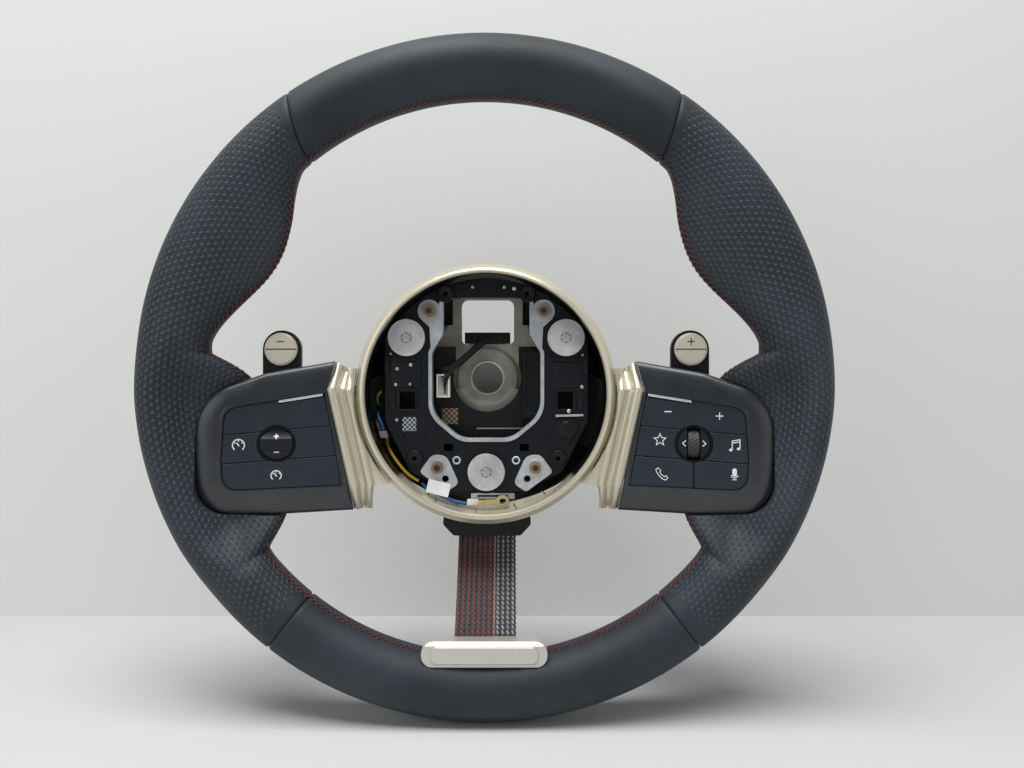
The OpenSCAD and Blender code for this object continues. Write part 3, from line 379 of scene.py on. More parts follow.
def shade(*rgb):
    """Linear colour from 8-bit screen values."""
    return tuple(v / 12.92 if v <= 0.04045 else ((v + 0.055) / 1.055) ** 2.4 for v in (w / 255 for w in rgb))


def leather(name, holes):
    """Fine-grained charcoal leather; holes punches the staggered pattern of a grip, with painted shade in each hole and
    a painted highlight on its lower lip.
    """
    made = Finish(name, shade(50, 56, 64), 0.5, level=0.3)
    creases = made.cells(1500.0, "DISTANCE_TO_EDGE")
    pores = made.noise(2600.0, 2.0)
    grain = creases.between(0.0, 0.35) * 0.7 + pores * 0.5
    worn = made.noise(14.0, 4.0).between(0.35, 0.7)
    color = made.blend(worn, shade(36, 41, 47), shade(49, 55, 62))
    relief = made.relief(grain, 0.00012, 0.55)
    rough = 0.44 + made.noise(35.0) * 0.14
    if holes:
        u, v = made.uv()
        pitch = 0.0036
        row = v / (pitch * 0.8)
        shift = row.floor().modulo(2.0).absolute() * 0.5
        dx = ((u / pitch + shift).fract() - 0.5) * pitch
        dy = (row.fract() - 0.5) * (pitch * 0.8)
        # long dimples lie across the rim, and the outer side of the lower grip has none
        spot = (dx * dx * 1.5 + dy * dy * 0.8).root()
        low = 1 - u.between(-0.068, -0.045)
        outside = (v - UV_MIDDLE).absolute()
        plain = low * (1 - outside.between(0.016, 0.024))
        ends = u.between(-0.133, -0.129) * (1 - u.between(0.136, 0.141))
        reach = (u / UV_RADIUS - math.radians(LOBE_AT)) / math.radians(LOBE_SPAN)
        bulge = (1 - reach * reach).most(0.0) ** 1.5
        reach = (u / UV_RADIUS + math.radians(ROOT_AT)) / math.radians(ROOT_SPAN)
        spoke = (1 - reach ** 6.0).most(0.0)
        edge = half_length(UPPER_SEAM) + bulge * (half_length(LOBE_AT) - half_length(UPPER_SEAM))
        edge = edge + spoke * (half_length(-ROOT_AT) - half_length(-ROOT_AT - ROOT_SPAN))
        inside = 1 - (outside - edge).between(-0.0072, -0.0058)
        mask = ends * (1 - plain) * inside
        dimple = (1 - spot.between(0.0003, 0.0008)) * mask
        # glint marks a painted highlight on the lower lip of each hole, where light from above falls
        low_spot = (dx * dx * 1.3 + (dy + 0.0004) * (dy + 0.0004)).root()
        glint = (1 - low_spot.between(0.0005, 0.0013)) * mask
        # painted highlight on the holes' lower lips
        color = made.blend(glint * 0.6, color, shade(98, 106, 114))
        # painted shade in each hole
        color = made.blend(dimple * 0.7, color, shade(26, 30, 34))
        relief = made.relief(1 - dimple, 0.0009, 1.0, under=relief)
        rough = rough + dimple * 0.1
    made.set("Base Color", color).set("Roughness", rough).set("Normal", relief)
    return made.material


def champagne(name, color, roughness=0.33):
    """Satin metal paint with a fine flake."""
    made = Finish(name, color, roughness, 0.55, Coat_Weight=0.15, Coat_Roughness=0.25)
    flake = made.cells(5200.0)
    tone = made.noise(9.0).between(0.3, 0.7)
    made.set("Base Color", made.blend(tone, [c * 0.93 for c in color], [min(1, c * 1.05) for c in color]))
    made.set("Roughness", roughness - 0.04 + made.noise(40.0) * 0.08)
    made.set("Normal", made.relief(flake, 0.00002, 0.35))
    return made.material


def casting(name, color, roughness, depth, shine=0.75):
    """Bare cast or machined metal with pits and stains."""
    made = Finish(name, color, roughness, shine)
    pits = made.noise(900.0, 4.0, 0.7)
    stain = made.noise(55.0, 5.0, 0.65).between(0.35, 0.68)
    made.set("Base Color", made.blend(stain, [c * 0.72 for c in color], [min(1, c * 1.12) for c in color]))
    made.set("Roughness", roughness - 0.08 + made.noise(140.0) * 0.2)
    made.set("Normal", made.relief(pits, depth, 0.6))
    return made.material


def far_from(made, centre, low, high):
    """0 nearer to the depth axis through centre than low, 1 farther than high, in metres."""
    x, y, z = made.axes()
    dx, dz = x - centre[0], z - centre[1]
    return (dx * dx + dz * dz).root().between(low, high)


def shaded_casting(name, color, roughness, depth, shine):
    """Casting that is bare at the hub and the window frame, with painted shade outside them, where the arms lie deep in
    the well's shadow and are painted very dark.
    """
    made = Finish.of(casting(name, color, roughness, depth, shine))
    x, y, z = made.axes()
    frame = (1 - x.absolute().between(0.0225, 0.0235)) * z.between(0.0, 0.002)
    # painted shade over the arms outside the hub
    black = far_from(made, (0, 0), 0.036, 0.040) * (1 - frame)
    made.over("Base Color", black, shade(16, 17, 19)).over("Metallic", black, 0.0)
    return made.material


def shaded_ring_paint(name, color, roughness):
    """Satin paint on the trim ring, with painted shade on its inner wall: very dark but for its lowest part, which the
    light reaches.
    """
    made = Finish.of(champagne(name, color, roughness))
    x, y, z = made.axes()
    inner = (1 - far_from(made, (0, -HUB_DROP / 1000), 0.0661, 0.0664)) * y.between(-0.0606, -0.0602)
    inner = inner * z.between(-0.056, -0.052)
    # painted shade on the ring's inner wall, above its lowest part
    made.over("Base Color", inner, shade(14, 15, 17)).over("Metallic", inner, 0.0)
    return made.material


def plain(name, color, roughness, metallic=0.0, grain=2400.0, depth=0.00004, **constants):
    """Moulded plastic, rubber, paper or cloth of one colour, with a fine grain."""
    return Finish(name, color, roughness, metallic, **constants).textured(grain, depth).material


def yarn(name, color, gloss):
    """Twisted yarn: fine strands that run round each float."""
    made = Finish(name, color, gloss, Sheen_Weight=0.3)
    x, y, z = made.axes()
    strands = ((x + z * 0.8 + y * 0.6) * 9000.0).sine() * 0.5 + 0.5
    tone = made.noise(420.0)
    twist = tone.between(0.3, 0.7) * 0.6 + strands * 0.3
    made.set("Base Color", made.blend(twist, [c * 0.45 for c in color], color))
    made.set("Normal", made.relief(strands, 0.00008, 0.7))
    return made.material


GRIP = leather("perforated_leather", True)
SMOOTH = leather("smooth_leather", False)
TRIM = champagne("champagne_trim", shade(208, 202, 182))
BADGE = champagne("badge_metal", shade(206, 203, 194), 0.34)
CAP = champagne("cap_metal", shade(225, 219, 200), 0.36)
WELT = plain("seam_welt", shade(24, 22, 26), 0.6, grain=1800.0, depth=0.00008)
CAST = shaded_casting("cast_alloy", shade(176, 172, 162), 0.58, 0.0004, 0.35)
RING = shaded_ring_paint("ring_trim", shade(218, 212, 190), 0.33)
ZINC = casting("zinc_steel", shade(196, 201, 205), 0.42, 0.00006, 0.6)
DISC = casting("disc_steel", shade(196, 197, 198), 0.42, 0.0005, 0.4)
STEEL = casting("bright_steel", shade(200, 200, 198), 0.34, 0.00002, 0.6)
COPPER = casting("yellow_passivated", shade(150, 138, 118), 0.42, 0.00004)
BOSS = casting("boss_alloy", shade(152, 150, 140), 0.5, 0.0006, 0.4)
# darker brown than the bolts: painted shade in the hex sockets
SHADED_SOCKET = casting("hex_socket_shade", shade(92, 66, 48), 0.5, 0.00004, 0.3)
BRASS = casting("tinned_brass", shade(205, 190, 140), 0.35, 0.00004)
POD = plain("pod_plastic", shade(33, 37, 42), 0.3, depth=0.00003, level=0.7)
KEY = plain("key_plastic", shade(29, 38, 48), 0.36, depth=0.00002)
DIALS = plain("dial_plastic", shade(22, 26, 32), 0.46, depth=0.00002, level=0.3)
BLACK = plain("black_plastic", shade(11, 12, 15), 0.42, depth=0.00006, level=0.3)
CARRIER = plain("carrier_plastic", shade(10, 13, 19), 0.42, depth=0.00005, level=0.3)
COVER = plain("cover_plastic", shade(30, 31, 34), 0.55, grain=1500.0, depth=0.0002)
RUBBER = plain("roller_rubber", shade(50, 50, 51), 0.5)
BOARD = plain("circuit_lacquer", shade(18, 60, 38), 0.35)
GLOW = plain("light_guide", shade(222, 224, 226), 0.25, depth=0.00001)
INK = Finish("symbol_white", shade(225, 228, 230), 0.5).textured(3000.0, 0.00001, 0.03).material
GROOVE = plain("dark_groove", shade(16, 16, 18), 0.7)
FOAM = plain("moulded_foam", shade(34, 36, 38), 0.85, grain=700.0, depth=0.0004)
TAPE = plain("cloth_tape", shade(20, 20, 21), 0.85, grain=900.0, depth=0.0003)
WHITE = plain("white_plastic", shade(222, 220, 212), 0.4)
LIP = plain("cream_lip", shade(232, 230, 216), 0.45, grain=900.0, depth=0.0002)
PAPER = plain("tag_paper", shade(232, 234, 236), 0.6, grain=1200.0, depth=0.00002)
YELLOW = plain("yellow_wire", shade(214, 168, 36), 0.4)
BLUE = plain("blue_wire", shade(38, 92, 158), 0.4)
GREEN = plain("green_wire", shade(104, 138, 60), 0.4)
BROWN = plain("brown_wire", shade(92, 66, 54), 0.45)
GREY = plain("grey_plastic", shade(138, 126, 128), 0.5)
THREAD = yarn("red_thread", shade(92, 40, 46), 0.7)
THREAD_DARK = yarn("dark_thread", shade(56, 32, 36), 0.7)
RED_YARN = yarn("red_yarn", shade(134, 62, 68), 0.6)
DARK_YARN = yarn("dark_yarn", shade(44, 42, 44), 0.6)
SILVER_YARN = yarn("silver_yarn", shade(168, 172, 176), 0.4)
TAN_YARN = yarn("tan_yarn", shade(196, 150, 118), 0.55)


# ---- mesh helpers ----


def placed(name, data):
    """Object of the scene for a mesh, a lamp or the camera."""
    obj = bpy.data.objects.new(name, data)
    bpy.context.scene.collection.objects.link(obj)
    return obj


def mesh_of(name, points, faces=(), edges=()):
    """Mesh from plain rows of points, faces and edges."""
    mesh = bpy.data.meshes.new(name)
    mesh.from_pydata([tuple(p) for p in points], list(edges), [tuple(f) for f in faces])
    return mesh


def piece(name, points, faces, body, material, slot):
    """A mesh piece that rides on a CAD body."""
    mesh = mesh_of(name, points, faces)
    mesh.validate()
    return dress(placed(name, mesh), body, material, slot)


def dress(obj, body, material, slot, angle=35.0, weighed=False):
    """Gives a piece its finish and its body; weighed keeps flat faces flat beside small roundings. slot is not used."""
    if material is not None:
        obj.data.materials.clear()
        obj.data.materials.append(material)
    smooth(obj.data, angle)
    if weighed:
        obj.modifiers.new("weighed", "WEIGHTED_NORMAL").keep_sharp = True
        settle(obj)
    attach(obj, body)
    return obj


def smooth(mesh, angle):
    """Smooth shading but for edges sharper than angle."""
    mesh.shade_smooth()
    mesh.set_sharp_from_angle(angle=math.radians(angle))


def outward(obj, merge=True):
    """Turns all faces of a closed mesh outward; merge first joins the points that lie together."""
    work = bmesh.new()
    work.from_mesh(obj.data)
    if merge:
        bmesh.ops.remove_doubles(work, verts=work.verts, dist=1e-6)
    bmesh.ops.recalc_face_normals(work, faces=work.faces)
    work.to_mesh(obj.data)
    work.free()
    return obj


def settle(obj):
    """Applies the modifiers of a piece to its mesh."""
    bpy.context.view_layer.update()
    result = bpy.data.meshes.new_from_object(obj.evaluated_get(bpy.context.evaluated_depsgraph_get()))
    obj.modifiers.clear()
    old, obj.data = obj.data, result
    bpy.data.meshes.remove(old)
    return obj


def bevelled(obj, width, segments=2, angle=32.0):
    """Rounds the edges that are sharper than angle."""
    made = obj.modifiers.new("edges", "BEVEL")
    made.width, made.segments = width / 1000, segments
    made.limit_method, made.angle_limit = "ANGLE", math.radians(angle)
    return settle(obj)


def carved(obj, *cutters):
    """Takes the cutters out of a closed mesh and deletes them."""
    for cutter in cutters:
        made = obj.modifiers.new("cut", "BOOLEAN")
        made.operation, made.solver, made.object = "DIFFERENCE", "EXACT", cutter
        settle(obj)
        mesh = cutter.data
        bpy.data.objects.remove(cutter)
        bpy.data.meshes.remove(mesh)
    return obj


def softened(node, width, material, segments=2):
    """Copy of a CAD node with rounded edges, which stands for it."""
    source = cad[node]
    slot = next(s["material_slot"] for s in frame["record"]["subparts"] if s["node"] == node)
    obj = placed(node + "_finished", source.data.copy())
    work = bmesh.new()
    work.from_mesh(obj.data)
    bmesh.ops.remove_doubles(work, verts=work.verts, dist=2e-6)
    bmesh.ops.dissolve_limit(work, angle_limit=math.radians(1.0), verts=work.verts, edges=work.edges)
    work.to_mesh(obj.data)
    work.free()
    bevelled(obj, width, segments)
    dress(obj, source["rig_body"], material, slot, weighed=True)
    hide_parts(node)


def repaint(node, material):
    """Gives a shown CAD node its finish."""
    cad[node].data.materials.clear()
    cad[node].data.materials.append(material)


def rounded(outline, radii, count=8):
    """Outline with its corners rounded to the radii."""
    result = []
    for i, r in enumerate(radii):
        b = np.array(outline[i], float)
        if r == 0:
            result.append(tuple(b))
            continue
        u = unit(np.array(outline[i - 1], float) - b)
        w = unit(np.array(outline[(i + 1) % len(outline)], float) - b)
        half = math.acos(float(np.clip(u @ w, -1, 1))) / 2
        o = b + unit(u + w) * r / math.sin(half)
        s, e = b + u * r / math.tan(half) - o, b + w * r / math.tan(half) - o
        start = math.degrees(math.atan2(s[1], s[0]))
        turn = (math.degrees(math.atan2(e[1], e[0])) - start + 540) % 360 - 180
        result += arc(o, r, start, start + turn, count)
    return result


def inset(outline, gap):
    """Counter-clockwise outline moved inward by gap."""
    result = []
    for i, p in enumerate(outline):
        p, before, after = (np.array(q, float) for q in (p, outline[i - 1], outline[(i + 1) % len(outline)]))
        u, w = unit(p - before), unit(after - p)
        a, b = np.array([-u[1], u[0]]), np.array([-w[1], w[0]])
        result.append(tuple(p + (a + b) * gap / (1 + a @ b)))
    return result


def prism(outline, d0, d1, put):
    """Points and faces of an outline extruded from depth d0 to d1; put places (a, depth, b)."""
    n = len(outline)
    points = [put(a, d, b) for d in (d0, d1) for a, b in outline]
    tris = tessellate_polygon([[Vector((a, b, 0)) for a, b in outline]])
    area = sum(outline[i - 1][0] * outline[i][1] - outline[i][0] * outline[i - 1][1] for i in range(n))
    faces = [list(t) for t in tris]
    first = [Vector((*outline[k], 0)) for k in faces[0]]
    if (first[1] - first[0]).cross(first[2] - first[0]).z < 0:
        faces = [f[::-1] for f in faces]
    caps = faces + [[k + n for k in f[::-1]] for f in faces]
    sides = [[i, i + n, (i + 1) % n + n, (i + 1) % n] for i in range(n)]
    return points, caps + (sides if area > 0 else [s[::-1] for s in sides])


def plate(name, outline, d0, d1, body, material, slot, put=at, bevel=0.0, mirrored=False):
    """Piece with one outline from depth d0 to d1; mirrored turns its faces where put mirrors it."""
    points, faces = prism(outline, d0, d1, put)
    if mirrored:
        faces = [f[::-1] for f in faces]
    obj = piece(name, points, faces, body, None, slot)
    if bevel:
        bevelled(outward(obj), bevel)
    return dress(obj, body, material, slot)


def turned(name, profile, centre, body, material, slot, count=96):
    """Profile of (radius, depth) turned about the depth axis at centre."""
    places = [(polar(centre, r, 360 * i / count), d) for i in range(count) for r, d in profile]
    obj = piece(name, [at(x, d, z) for (x, z), d in places], skin(count, len(profile)), body, material, slot)
    return dress(outward(obj), body, material, slot)


def joined(name, objs, body):
    """Joins pieces on one body into a single one."""
    bpy.ops.object.select_all(action="DESELECT")
    for o in objs:
        o.select_set(True)
    bpy.context.view_layer.objects.active = objs[0]
    bpy.ops.object.join()
    objs[0].name = name
    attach(objs[0], body)
    return objs[0]


# ---- geometry trees ----


class Tree:
    """A geometry node tree with named inputs, read by their identifiers."""

    def __init__(self, name, **inputs):
        self.group = bpy.data.node_groups.new(name, "GeometryNodeTree")
        self.group.interface.new_socket("Geometry", in_out="INPUT", socket_type="NodeSocketGeometry")
        self.group.interface.new_socket("Geometry", in_out="OUTPUT", socket_type="NodeSocketGeometry")
        self.values = {}
        kinds = {float: "NodeSocketFloat", int: "NodeSocketInt", bpy.types.Material: "NodeSocketMaterial"}
        for key, value in inputs.items():
            socket = self.group.interface.new_socket(key, in_out="INPUT", socket_type=kinds[type(value)])
            self.values[key] = (socket.identifier, value)
        self.source = self.group.nodes.new("NodeGroupInput")
        self.sink = self.group.nodes.new("NodeGroupOutput")

    def __getitem__(self, key):
        return self.source.outputs[key]

    def node(self, kind, settings=None, **inputs):
        made = self.group.nodes.new(kind)
        for key, value in (settings or {}).items():
            setattr(made, key, value)
        for key, value in inputs.items():
            socket = made.inputs[int(key[1:]) if key[0] == "_" else key.replace("_", " ")]
            for one in value if isinstance(value, list) else [value]:
                if isinstance(one, bpy.types.NodeSocket):
                    self.group.links.new(one, socket)
                else:
                    socket.default_value = one
        return made.outputs

    def times(self, value, factor):
        return self.node("ShaderNodeMath", {"operation": "MULTIPLY"}, _0=value, _1=factor)[0]

    def finish(self, geometry, material):
        """Ends the tree in real faces with their material."""
        real = self.node("GeometryNodeRealizeInstances", Geometry=geometry)[0]
        done = self.node("GeometryNodeSetMaterial", Geometry=real, Material=material)[0]
        self.group.links.new(done, self.sink.inputs[0])

    def grow(self, name, base, body, slot):
        """Runs the tree on a base mesh and returns the result as a plain piece."""
        obj = placed(name, base)
        made = obj.modifiers.new("grown", "NODES")
        made.node_group = self.group
        for identifier, value in self.values.values():
            made[identifier] = value
        return dress(settle(obj), body, None, slot, 50)


def seats(name, places, along, out):
    """Base mesh of single points, each with the direction that its instance lies along and faces."""
    mesh = mesh_of(name, places)
    for key, rows in (("along", along), ("out", out)):
        layer = mesh.attributes.new(key, "FLOAT_VECTOR", "POINT")
        layer.data.foreach_set("vector", np.asarray(rows, np.float32).ravel())
    return mesh


def on_seats(tree, shape):
    """Puts a shape on each point of the base, X along and Z out."""
    turn = tree.node("FunctionNodeAxesToRotation", {"primary_axis": "Z", "secondary_axis": "X"},
                     _0=tree.node("GeometryNodeInputNamedAttribute", {"data_type": "FLOAT_VECTOR"}, Name="out")[0],
                     _1=tree.node("GeometryNodeInputNamedAttribute", {"data_type": "FLOAT_VECTOR"}, Name="along")[0])[0]
    points = tree.node("GeometryNodeMeshToPoints", Mesh=tree["Geometry"])[0]
    return tree.node("GeometryNodeInstanceOnPoints", Points=points, Instance=shape, Rotation=turn)[0]


def stitch(tree, sink, rise, across=None, sides=6, steps=5):
    """Thread of the tree's Length and Thickness that comes up from sink, arches toward rise and goes down again.

    across is how far it moves sideways from one end to the other."""
    ends = []
    for share in (-0.5, 0.5):
        place = {"X": tree.times(tree["Length"], share), "Z": sink}
        if across is not None:
            place["Y"] = tree.times(across, share)
        ends.append(tree.node("ShaderNodeCombineXYZ", **place)[0])
    middle = tree.node("ShaderNodeCombineXYZ", Z=rise)[0]
    line = tree.node("GeometryNodeCurveQuadraticBezier", Resolution=steps, Start=ends[0], Middle=middle, End=ends[1])[0]
    yarn_round = tree.node("GeometryNodeCurvePrimitiveCircle", Resolution=sides, Radius=tree["Thickness"])[0]
    return tree.node("GeometryNodeCurveToMesh", Curve=line, Profile_Curve=yarn_round, Fill_Caps=True)[0]


# ---- rim ----


# Angles of the section's points, half of a seam's width as an angle of the rim, and how far the leather rolls in there.
SECTION = np.array([180 + 360 * i / 80 for i in range(80)])
SEAM_STEP = math.degrees(0.15 / RIM_R)
ROLL = 1.6
# Rows of faces along the inner edge that are the welt, and the stitches' spacing, section angle and half reach.
WELT_ROWS = range(4)
STITCH_PITCH, STITCH_TURN, STITCH_REACH = 3.3, 192, 5
BADGE_IN, BADGE_W, BADGE_H, BADGE_R = 20.9, 32.5, 6.5, 6


def stations(low, high, count):
    """Angles from low to high, with three close ones at each end, where the leather rolls into its seam."""
    edge = math.degrees(ROLL / RIM_R)
    inner = list(np.linspace(low + edge, high - edge, count))
    roll = [0.0, 0.25, 0.6]
    return [low + edge * k for k in roll] + inner + [high - edge * k for k in roll[::-1]]


def leather_panel(name, angles, material):
    """Leather shell over the angles, tucked in where it meets a seam."""
    n, m = len(SECTION), len(angles)
    outer, inner, uv = [], [], []
    for a in angles:
        near = math.radians(min(abs(a - angles[0]), abs(a - angles[-1]))) * RIM_R
        tuck = 0.8 * max(0.0, 1 - near / ROLL) ** 2
        loop = rim_point(a, SECTION, tuck)
        outer.append(loop)
        inner.append(rim_point(a, SECTION, LEATHER_T))
        length = lengths(closed(loop))
        uv.append((length - length[n // 2]) / 1000 + UV_MIDDLE)
    points = [at(*p) for loops in (outer, inner) for l in loops for p in l]
    off, faces, corners = n * m, [], []
    turn = [math.radians(folded(a)) * UV_RADIUS for a in angles]
    for i in range(m - 1):
        for j in range(n):
            k = (j + 1) % n
            faces.append([i * n + j, i * n + k, (i + 1) * n + k, (i + 1) * n + j])
            corners.append([(turn[p], uv[p][q]) for p, q in ((i, j), (i, j + 1), (i + 1, j + 1), (i + 1, j))])
            faces.append([off + v for v in faces[-1][::-1]])
            corners.append(corners[-1][::-1])
    for i, flip in ((0, False), (m - 1, True)):
        for j in range(n):
            k = (j + 1) % n
            face = [i * n + j, off + i * n + j, off + i * n + k, i * n + k]
            faces.append(face[::-1] if flip else face)
            corners.append([(turn[i], uv[i][j])] * 4)
    mesh = mesh_of(name, points, faces)
    mesh.materials.append(material)
    mesh.materials.append(WELT)
    welt = [int(k % 2 == 0 and k // 2 % n in WELT_ROWS) for k in range(2 * n * (m - 1))]
    mesh.polygons.foreach_set("material_index", welt + [0] * (len(faces) - len(welt)))
    layer = mesh.uv_layers.new(name="leather")
    layer.data.foreach_set("uv", np.array(corners, np.float32).ravel())
    return outward(placed(name, mesh), merge=False)


POD_OUTLINE = [(-1.5, -71.2), (40, -72.6), (78.9, -70.8), (79.5, -36), (79, -10.2), (44, 2.4), (8.2, 8.9)]
POD_RADII = [0, 30, 16, 0, 26, 36, 0]
FIELD = [(4.6, -57.5), (65.6, -59.2), (66.4, -42), (64.6, -17.2), (57.5, -14.9), (13.6, -7.8)]
FIELD_RADII = [0.5, 7.5, 12, 6.5, 5, 0.5]
WING_EDGE = [(-1.8, -71.2), (12.5, -6.3), (7.9, 8.9)]


def pod_shape(grow):
    """Outline of a pod, grown by so many millimetres."""
    return rounded(inset(POD_OUTLINE, -grow), [r + grow if r else 0 for r in POD_RADII], 10)


def solid(name, points, faces):
    """Plain closed mesh used as a tool."""
    return outward(placed(name, mesh_of(name, points, faces)))


def pod_cutter(side, grow, d0, d1):
    return solid("pod_cutter", *prism(pod_shape(grow), d0, d1, on_pod(side)))


def badge_cutter(gap):
    """Room for the badge in the rim, with a gap round it."""
    z0 = -(RIM_R - BADGE_IN)
    w, h, r = BADGE_W + gap, BADGE_H + gap, BADGE_R + gap
    face = rounded(box(-w, z0 - h, w, z0 + h), [r] * 4)
    block = solid("badge_cutter", *prism(face, -30, -1.8 + gap, at))
    side = [(-1.8 + gap, 12), (-1.8 + gap, -3.4 - gap), (-7 + gap, -4.8 - gap), (-9.6 + gap, -7.2 - gap),
            (-30, -12), (-40, -40), (5, -40), (5, 12)]
    keep = solid("badge_below", *prism([(d, z + z0) for d, z in side], -50, 50, lambda d, x, z: at(x, d, z)))
    return carved(block, keep)


def rim_leather():
    """Four leather panels and the dense foam under them."""
    low, high = -LOWER_SEAM + SEAM_STEP, UPPER_SEAM - SEAM_STEP
    right = stations(low, high, 190)
    left = [180 - a for a in right[::-1]]
    top = stations(UPPER_SEAM + SEAM_STEP, 180 - UPPER_SEAM - SEAM_STEP, 110)
    bottom = stations(180 + LOWER_SEAM + SEAM_STEP, 360 - LOWER_SEAM - SEAM_STEP, 110)
    for name, angles, material, node in (
            ("right_grip_leather", right, GRIP, "leather_right"), ("left_grip_leather", left, GRIP, "leather_left"),
            ("top_leather", top, SMOOTH, "leather_top"), ("bottom_leather", bottom, SMOOTH, "leather_bottom")):
        obj = leather_panel(name, angles, material)
        if material is GRIP:
            carved(obj, pod_cutter(1 if angles is right else -1, SOFT_GAP, -30, POD_T + SOFT_GAP))
        elif angles is bottom:
            carved(obj, badge_cutter(SOFT_GAP))
        dress(obj, "wheel", None, "leather", 40)
        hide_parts(node)
    angles = np.arange(0, 360, 1.5)
    points = [at(*p) for a in angles for p in rim_point(a, SECTION, LEATHER_T + SOFT_GAP)]
    padding = solid("rim_padding", points, skin(len(angles), len(SECTION)))
    room = SOFT_GAP + 0.02
    carved(padding, pod_cutter(-1, room, -30, POD_T + room), pod_cutter(1, room, -30, POD_T + room), badge_cutter(room))
    dress(padding, "wheel", FOAM, "foam")
    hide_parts("rim_foam")


def in_polygon(p, outline):
    """True for a point inside a closed outline."""
    inside = False
    for i, (x1, y1) in enumerate(outline):
        x0, y0 = outline[i - 1]
        if (y0 > p[1]) != (y1 > p[1]) and p[0] < (x1 - x0) * (p[1] - y0) / (y1 - y0) + x0:
            inside = not inside
    return inside


def under_pod(p):
    """True for a point of the rim that a pod or its pocket covers."""
    x, depth = abs(p[0]) - POD_X, p[1] - POD_FRONT
    c, s = math.cos(POD_TILT), math.sin(POD_TILT)
    u, d = x * c - depth * s, x * s + depth * c
    return d < POD_T + 3 and in_polygon((u, p[2]), pod_shape(0.8))


def stitch_line(turn):
    """Evenly spaced places along the inner edge of the rim, at one angle of its section."""
    line = closed([rim_point(a, np.array([turn]), 0.0)[0] for a in np.arange(0, 360, 0.1)])
    total = lengths(line)[-1]
    count = int(total / STITCH_PITCH)
    return places_on(line, np.arange(count) * total / count)


def nearest(points, p):
    """The one of the points that lies nearest to p."""
    return points[np.argmin(np.linalg.norm(points - p, axis=1))]


def rim_stitches():
    """Cross stitches along the inner edge, on a narrow dark welt."""
    line, inner, outer = (stitch_line(STITCH_TURN + turn) for turn in (0, -STITCH_REACH, STITCH_REACH))
    rows = []
    for i, p in enumerate(line):
        at_badge = abs(p[0]) < BADGE_W + 2 and p[2] < -100 and p[1] < 0
        if under_pod(p) or at_badge:
            continue
        tangent = unit(line[(i + 1) % len(line)] - line[i - 1])
        normal = unit(np.cross(tangent, nearest(outer, p) - nearest(inner, p)))
        if normal[1] > 0:
            normal = -normal
        rows.append((at(*(p + normal * 0.12)), tangent, normal))
    for name, flip, lift, material in (
            ("rim_stitches", 1.0, 1.7, THREAD), ("rim_cross_stitches", -1.0, 0.9, THREAD_DARK)):
        tree = Tree(name, Length=0.0044, Height=0.0044, Thickness=0.00038, Thread=material)
        shape = stitch(tree, -0.0004, tree.times(tree["Thickness"], lift), tree.times(tree["Height"], flip))
        tree.finish(on_seats(tree, shape), tree["Thread"])
        tree.grow(name, seats(name, *zip(*rows)), "wheel", "leather")


# ---- strap ----


def smoothed(points, steps):
    """Points of a Catmull-Rom line through the given ones."""
    p = [np.array(q, float) for q in points]
    result = []
    for i in range(len(p) - 1):
        a, b, c, d = p[max(i - 1, 0)], p[i], p[i + 1], p[min(i + 2, len(p) - 1)]
        for k in range(steps):
            t = k / steps
            bend = (2 * a - 5 * b + 4 * c - d) * t * t + (3 * b - a - 3 * c + d) * t ** 3
            result.append(0.5 * (2 * b + (c - a) * t + bend))
    return np.array(result + [p[-1]])


STRAP_PATH = smoothed([(37.5, -81.5), (36.6, -88), (31, -98), (22, -110.5), (12, -123.5), (3.2, -133), (0, -138),
                       (-0.6, -144)], 12)
WEFT_PITCH = 2.8
RED_AT = [-15.0 + 2.86 * i for i in range(7)]
SILVER_AT = [6.6 + 2.7 * i for i in range(4)]


def strap():
    """Webbing: a thin base and rows of slanting yarn floats in three fields of colour."""
    path = STRAP_PATH
    length = lengths(path)
    tangents = np.gradient(path, axis=0)
    tangents /= np.linalg.norm(tangents, axis=1)[:, None]
    normals = np.stack([tangents[:, 1], -tangents[:, 0]], 1)
    points = [at(s * STRAP_HALF, *(path[i] + normals[i] * side * 0.35))
              for i in range(len(path)) for side, s in ((1, -1), (1, 1), (-1, 1), (-1, -1))]
    base = piece("strap_web", points, skin(len(path), 4, capped=True), "wheel", None, "webbing")
    dress(outward(base), "wheel", DARK_YARN, "webbing")

    def column(x, first, lift, slant):
        """Seats of one column of floats, on both faces of the web."""
        for row in np.arange(first, length[-1] - 0.8, WEFT_PITCH):
            i = int(np.argmin(abs(length - row)))
            for face in (1, -1):
                t, out = tangents[i], normals[i] * face
                place = at(x, *(path[i] + (row - length[i]) * t + out * lift))
                yield place, unit(np.array([slant * face, *t])), (0, *out)

    def weave(name, rows, size, thickness, sink, rise, material):
        tree = Tree(name, Length=size, Thickness=thickness, Yarn=material)
        tree.finish(on_seats(tree, stitch(tree, sink, rise)), tree["Yarn"])
        return tree.grow(name, seats(name, *zip(*rows)), "wheel", "webbing")

    red = [seat for x in RED_AT for seat in column(x, 0.9, 0.33, 0.62)]
    silver = [seat for x in SILVER_AT for seat in column(x, 0.9, 0.33, 0.45)]
    dark = [seat for xs, slant in ((RED_AT, -0.62), (SILVER_AT, -0.45)) for x in xs
            for seat in column(x + 0.7, 0.9 + WEFT_PITCH / 2, 0.33, slant)]
    woven = [weave("strap_red_weave", red, 0.0026, 0.00058, -0.0004, 0.00045, RED_YARN),
             weave("strap_silver_weave", silver, 0.0021, 0.00058, -0.0004, 0.00045, SILVER_YARN),
             weave("strap_dark_weave", dark, 0.0026, 0.00058, -0.0004, 0.00045, DARK_YARN),
             weave("strap_seam", list(column(4.6, 0.9, 0.5, 0.25)), 0.0027, 0.0004, -0.0002, 0.0004, TAN_YARN)]
    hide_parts("strap")


# ---- wings and ring ----

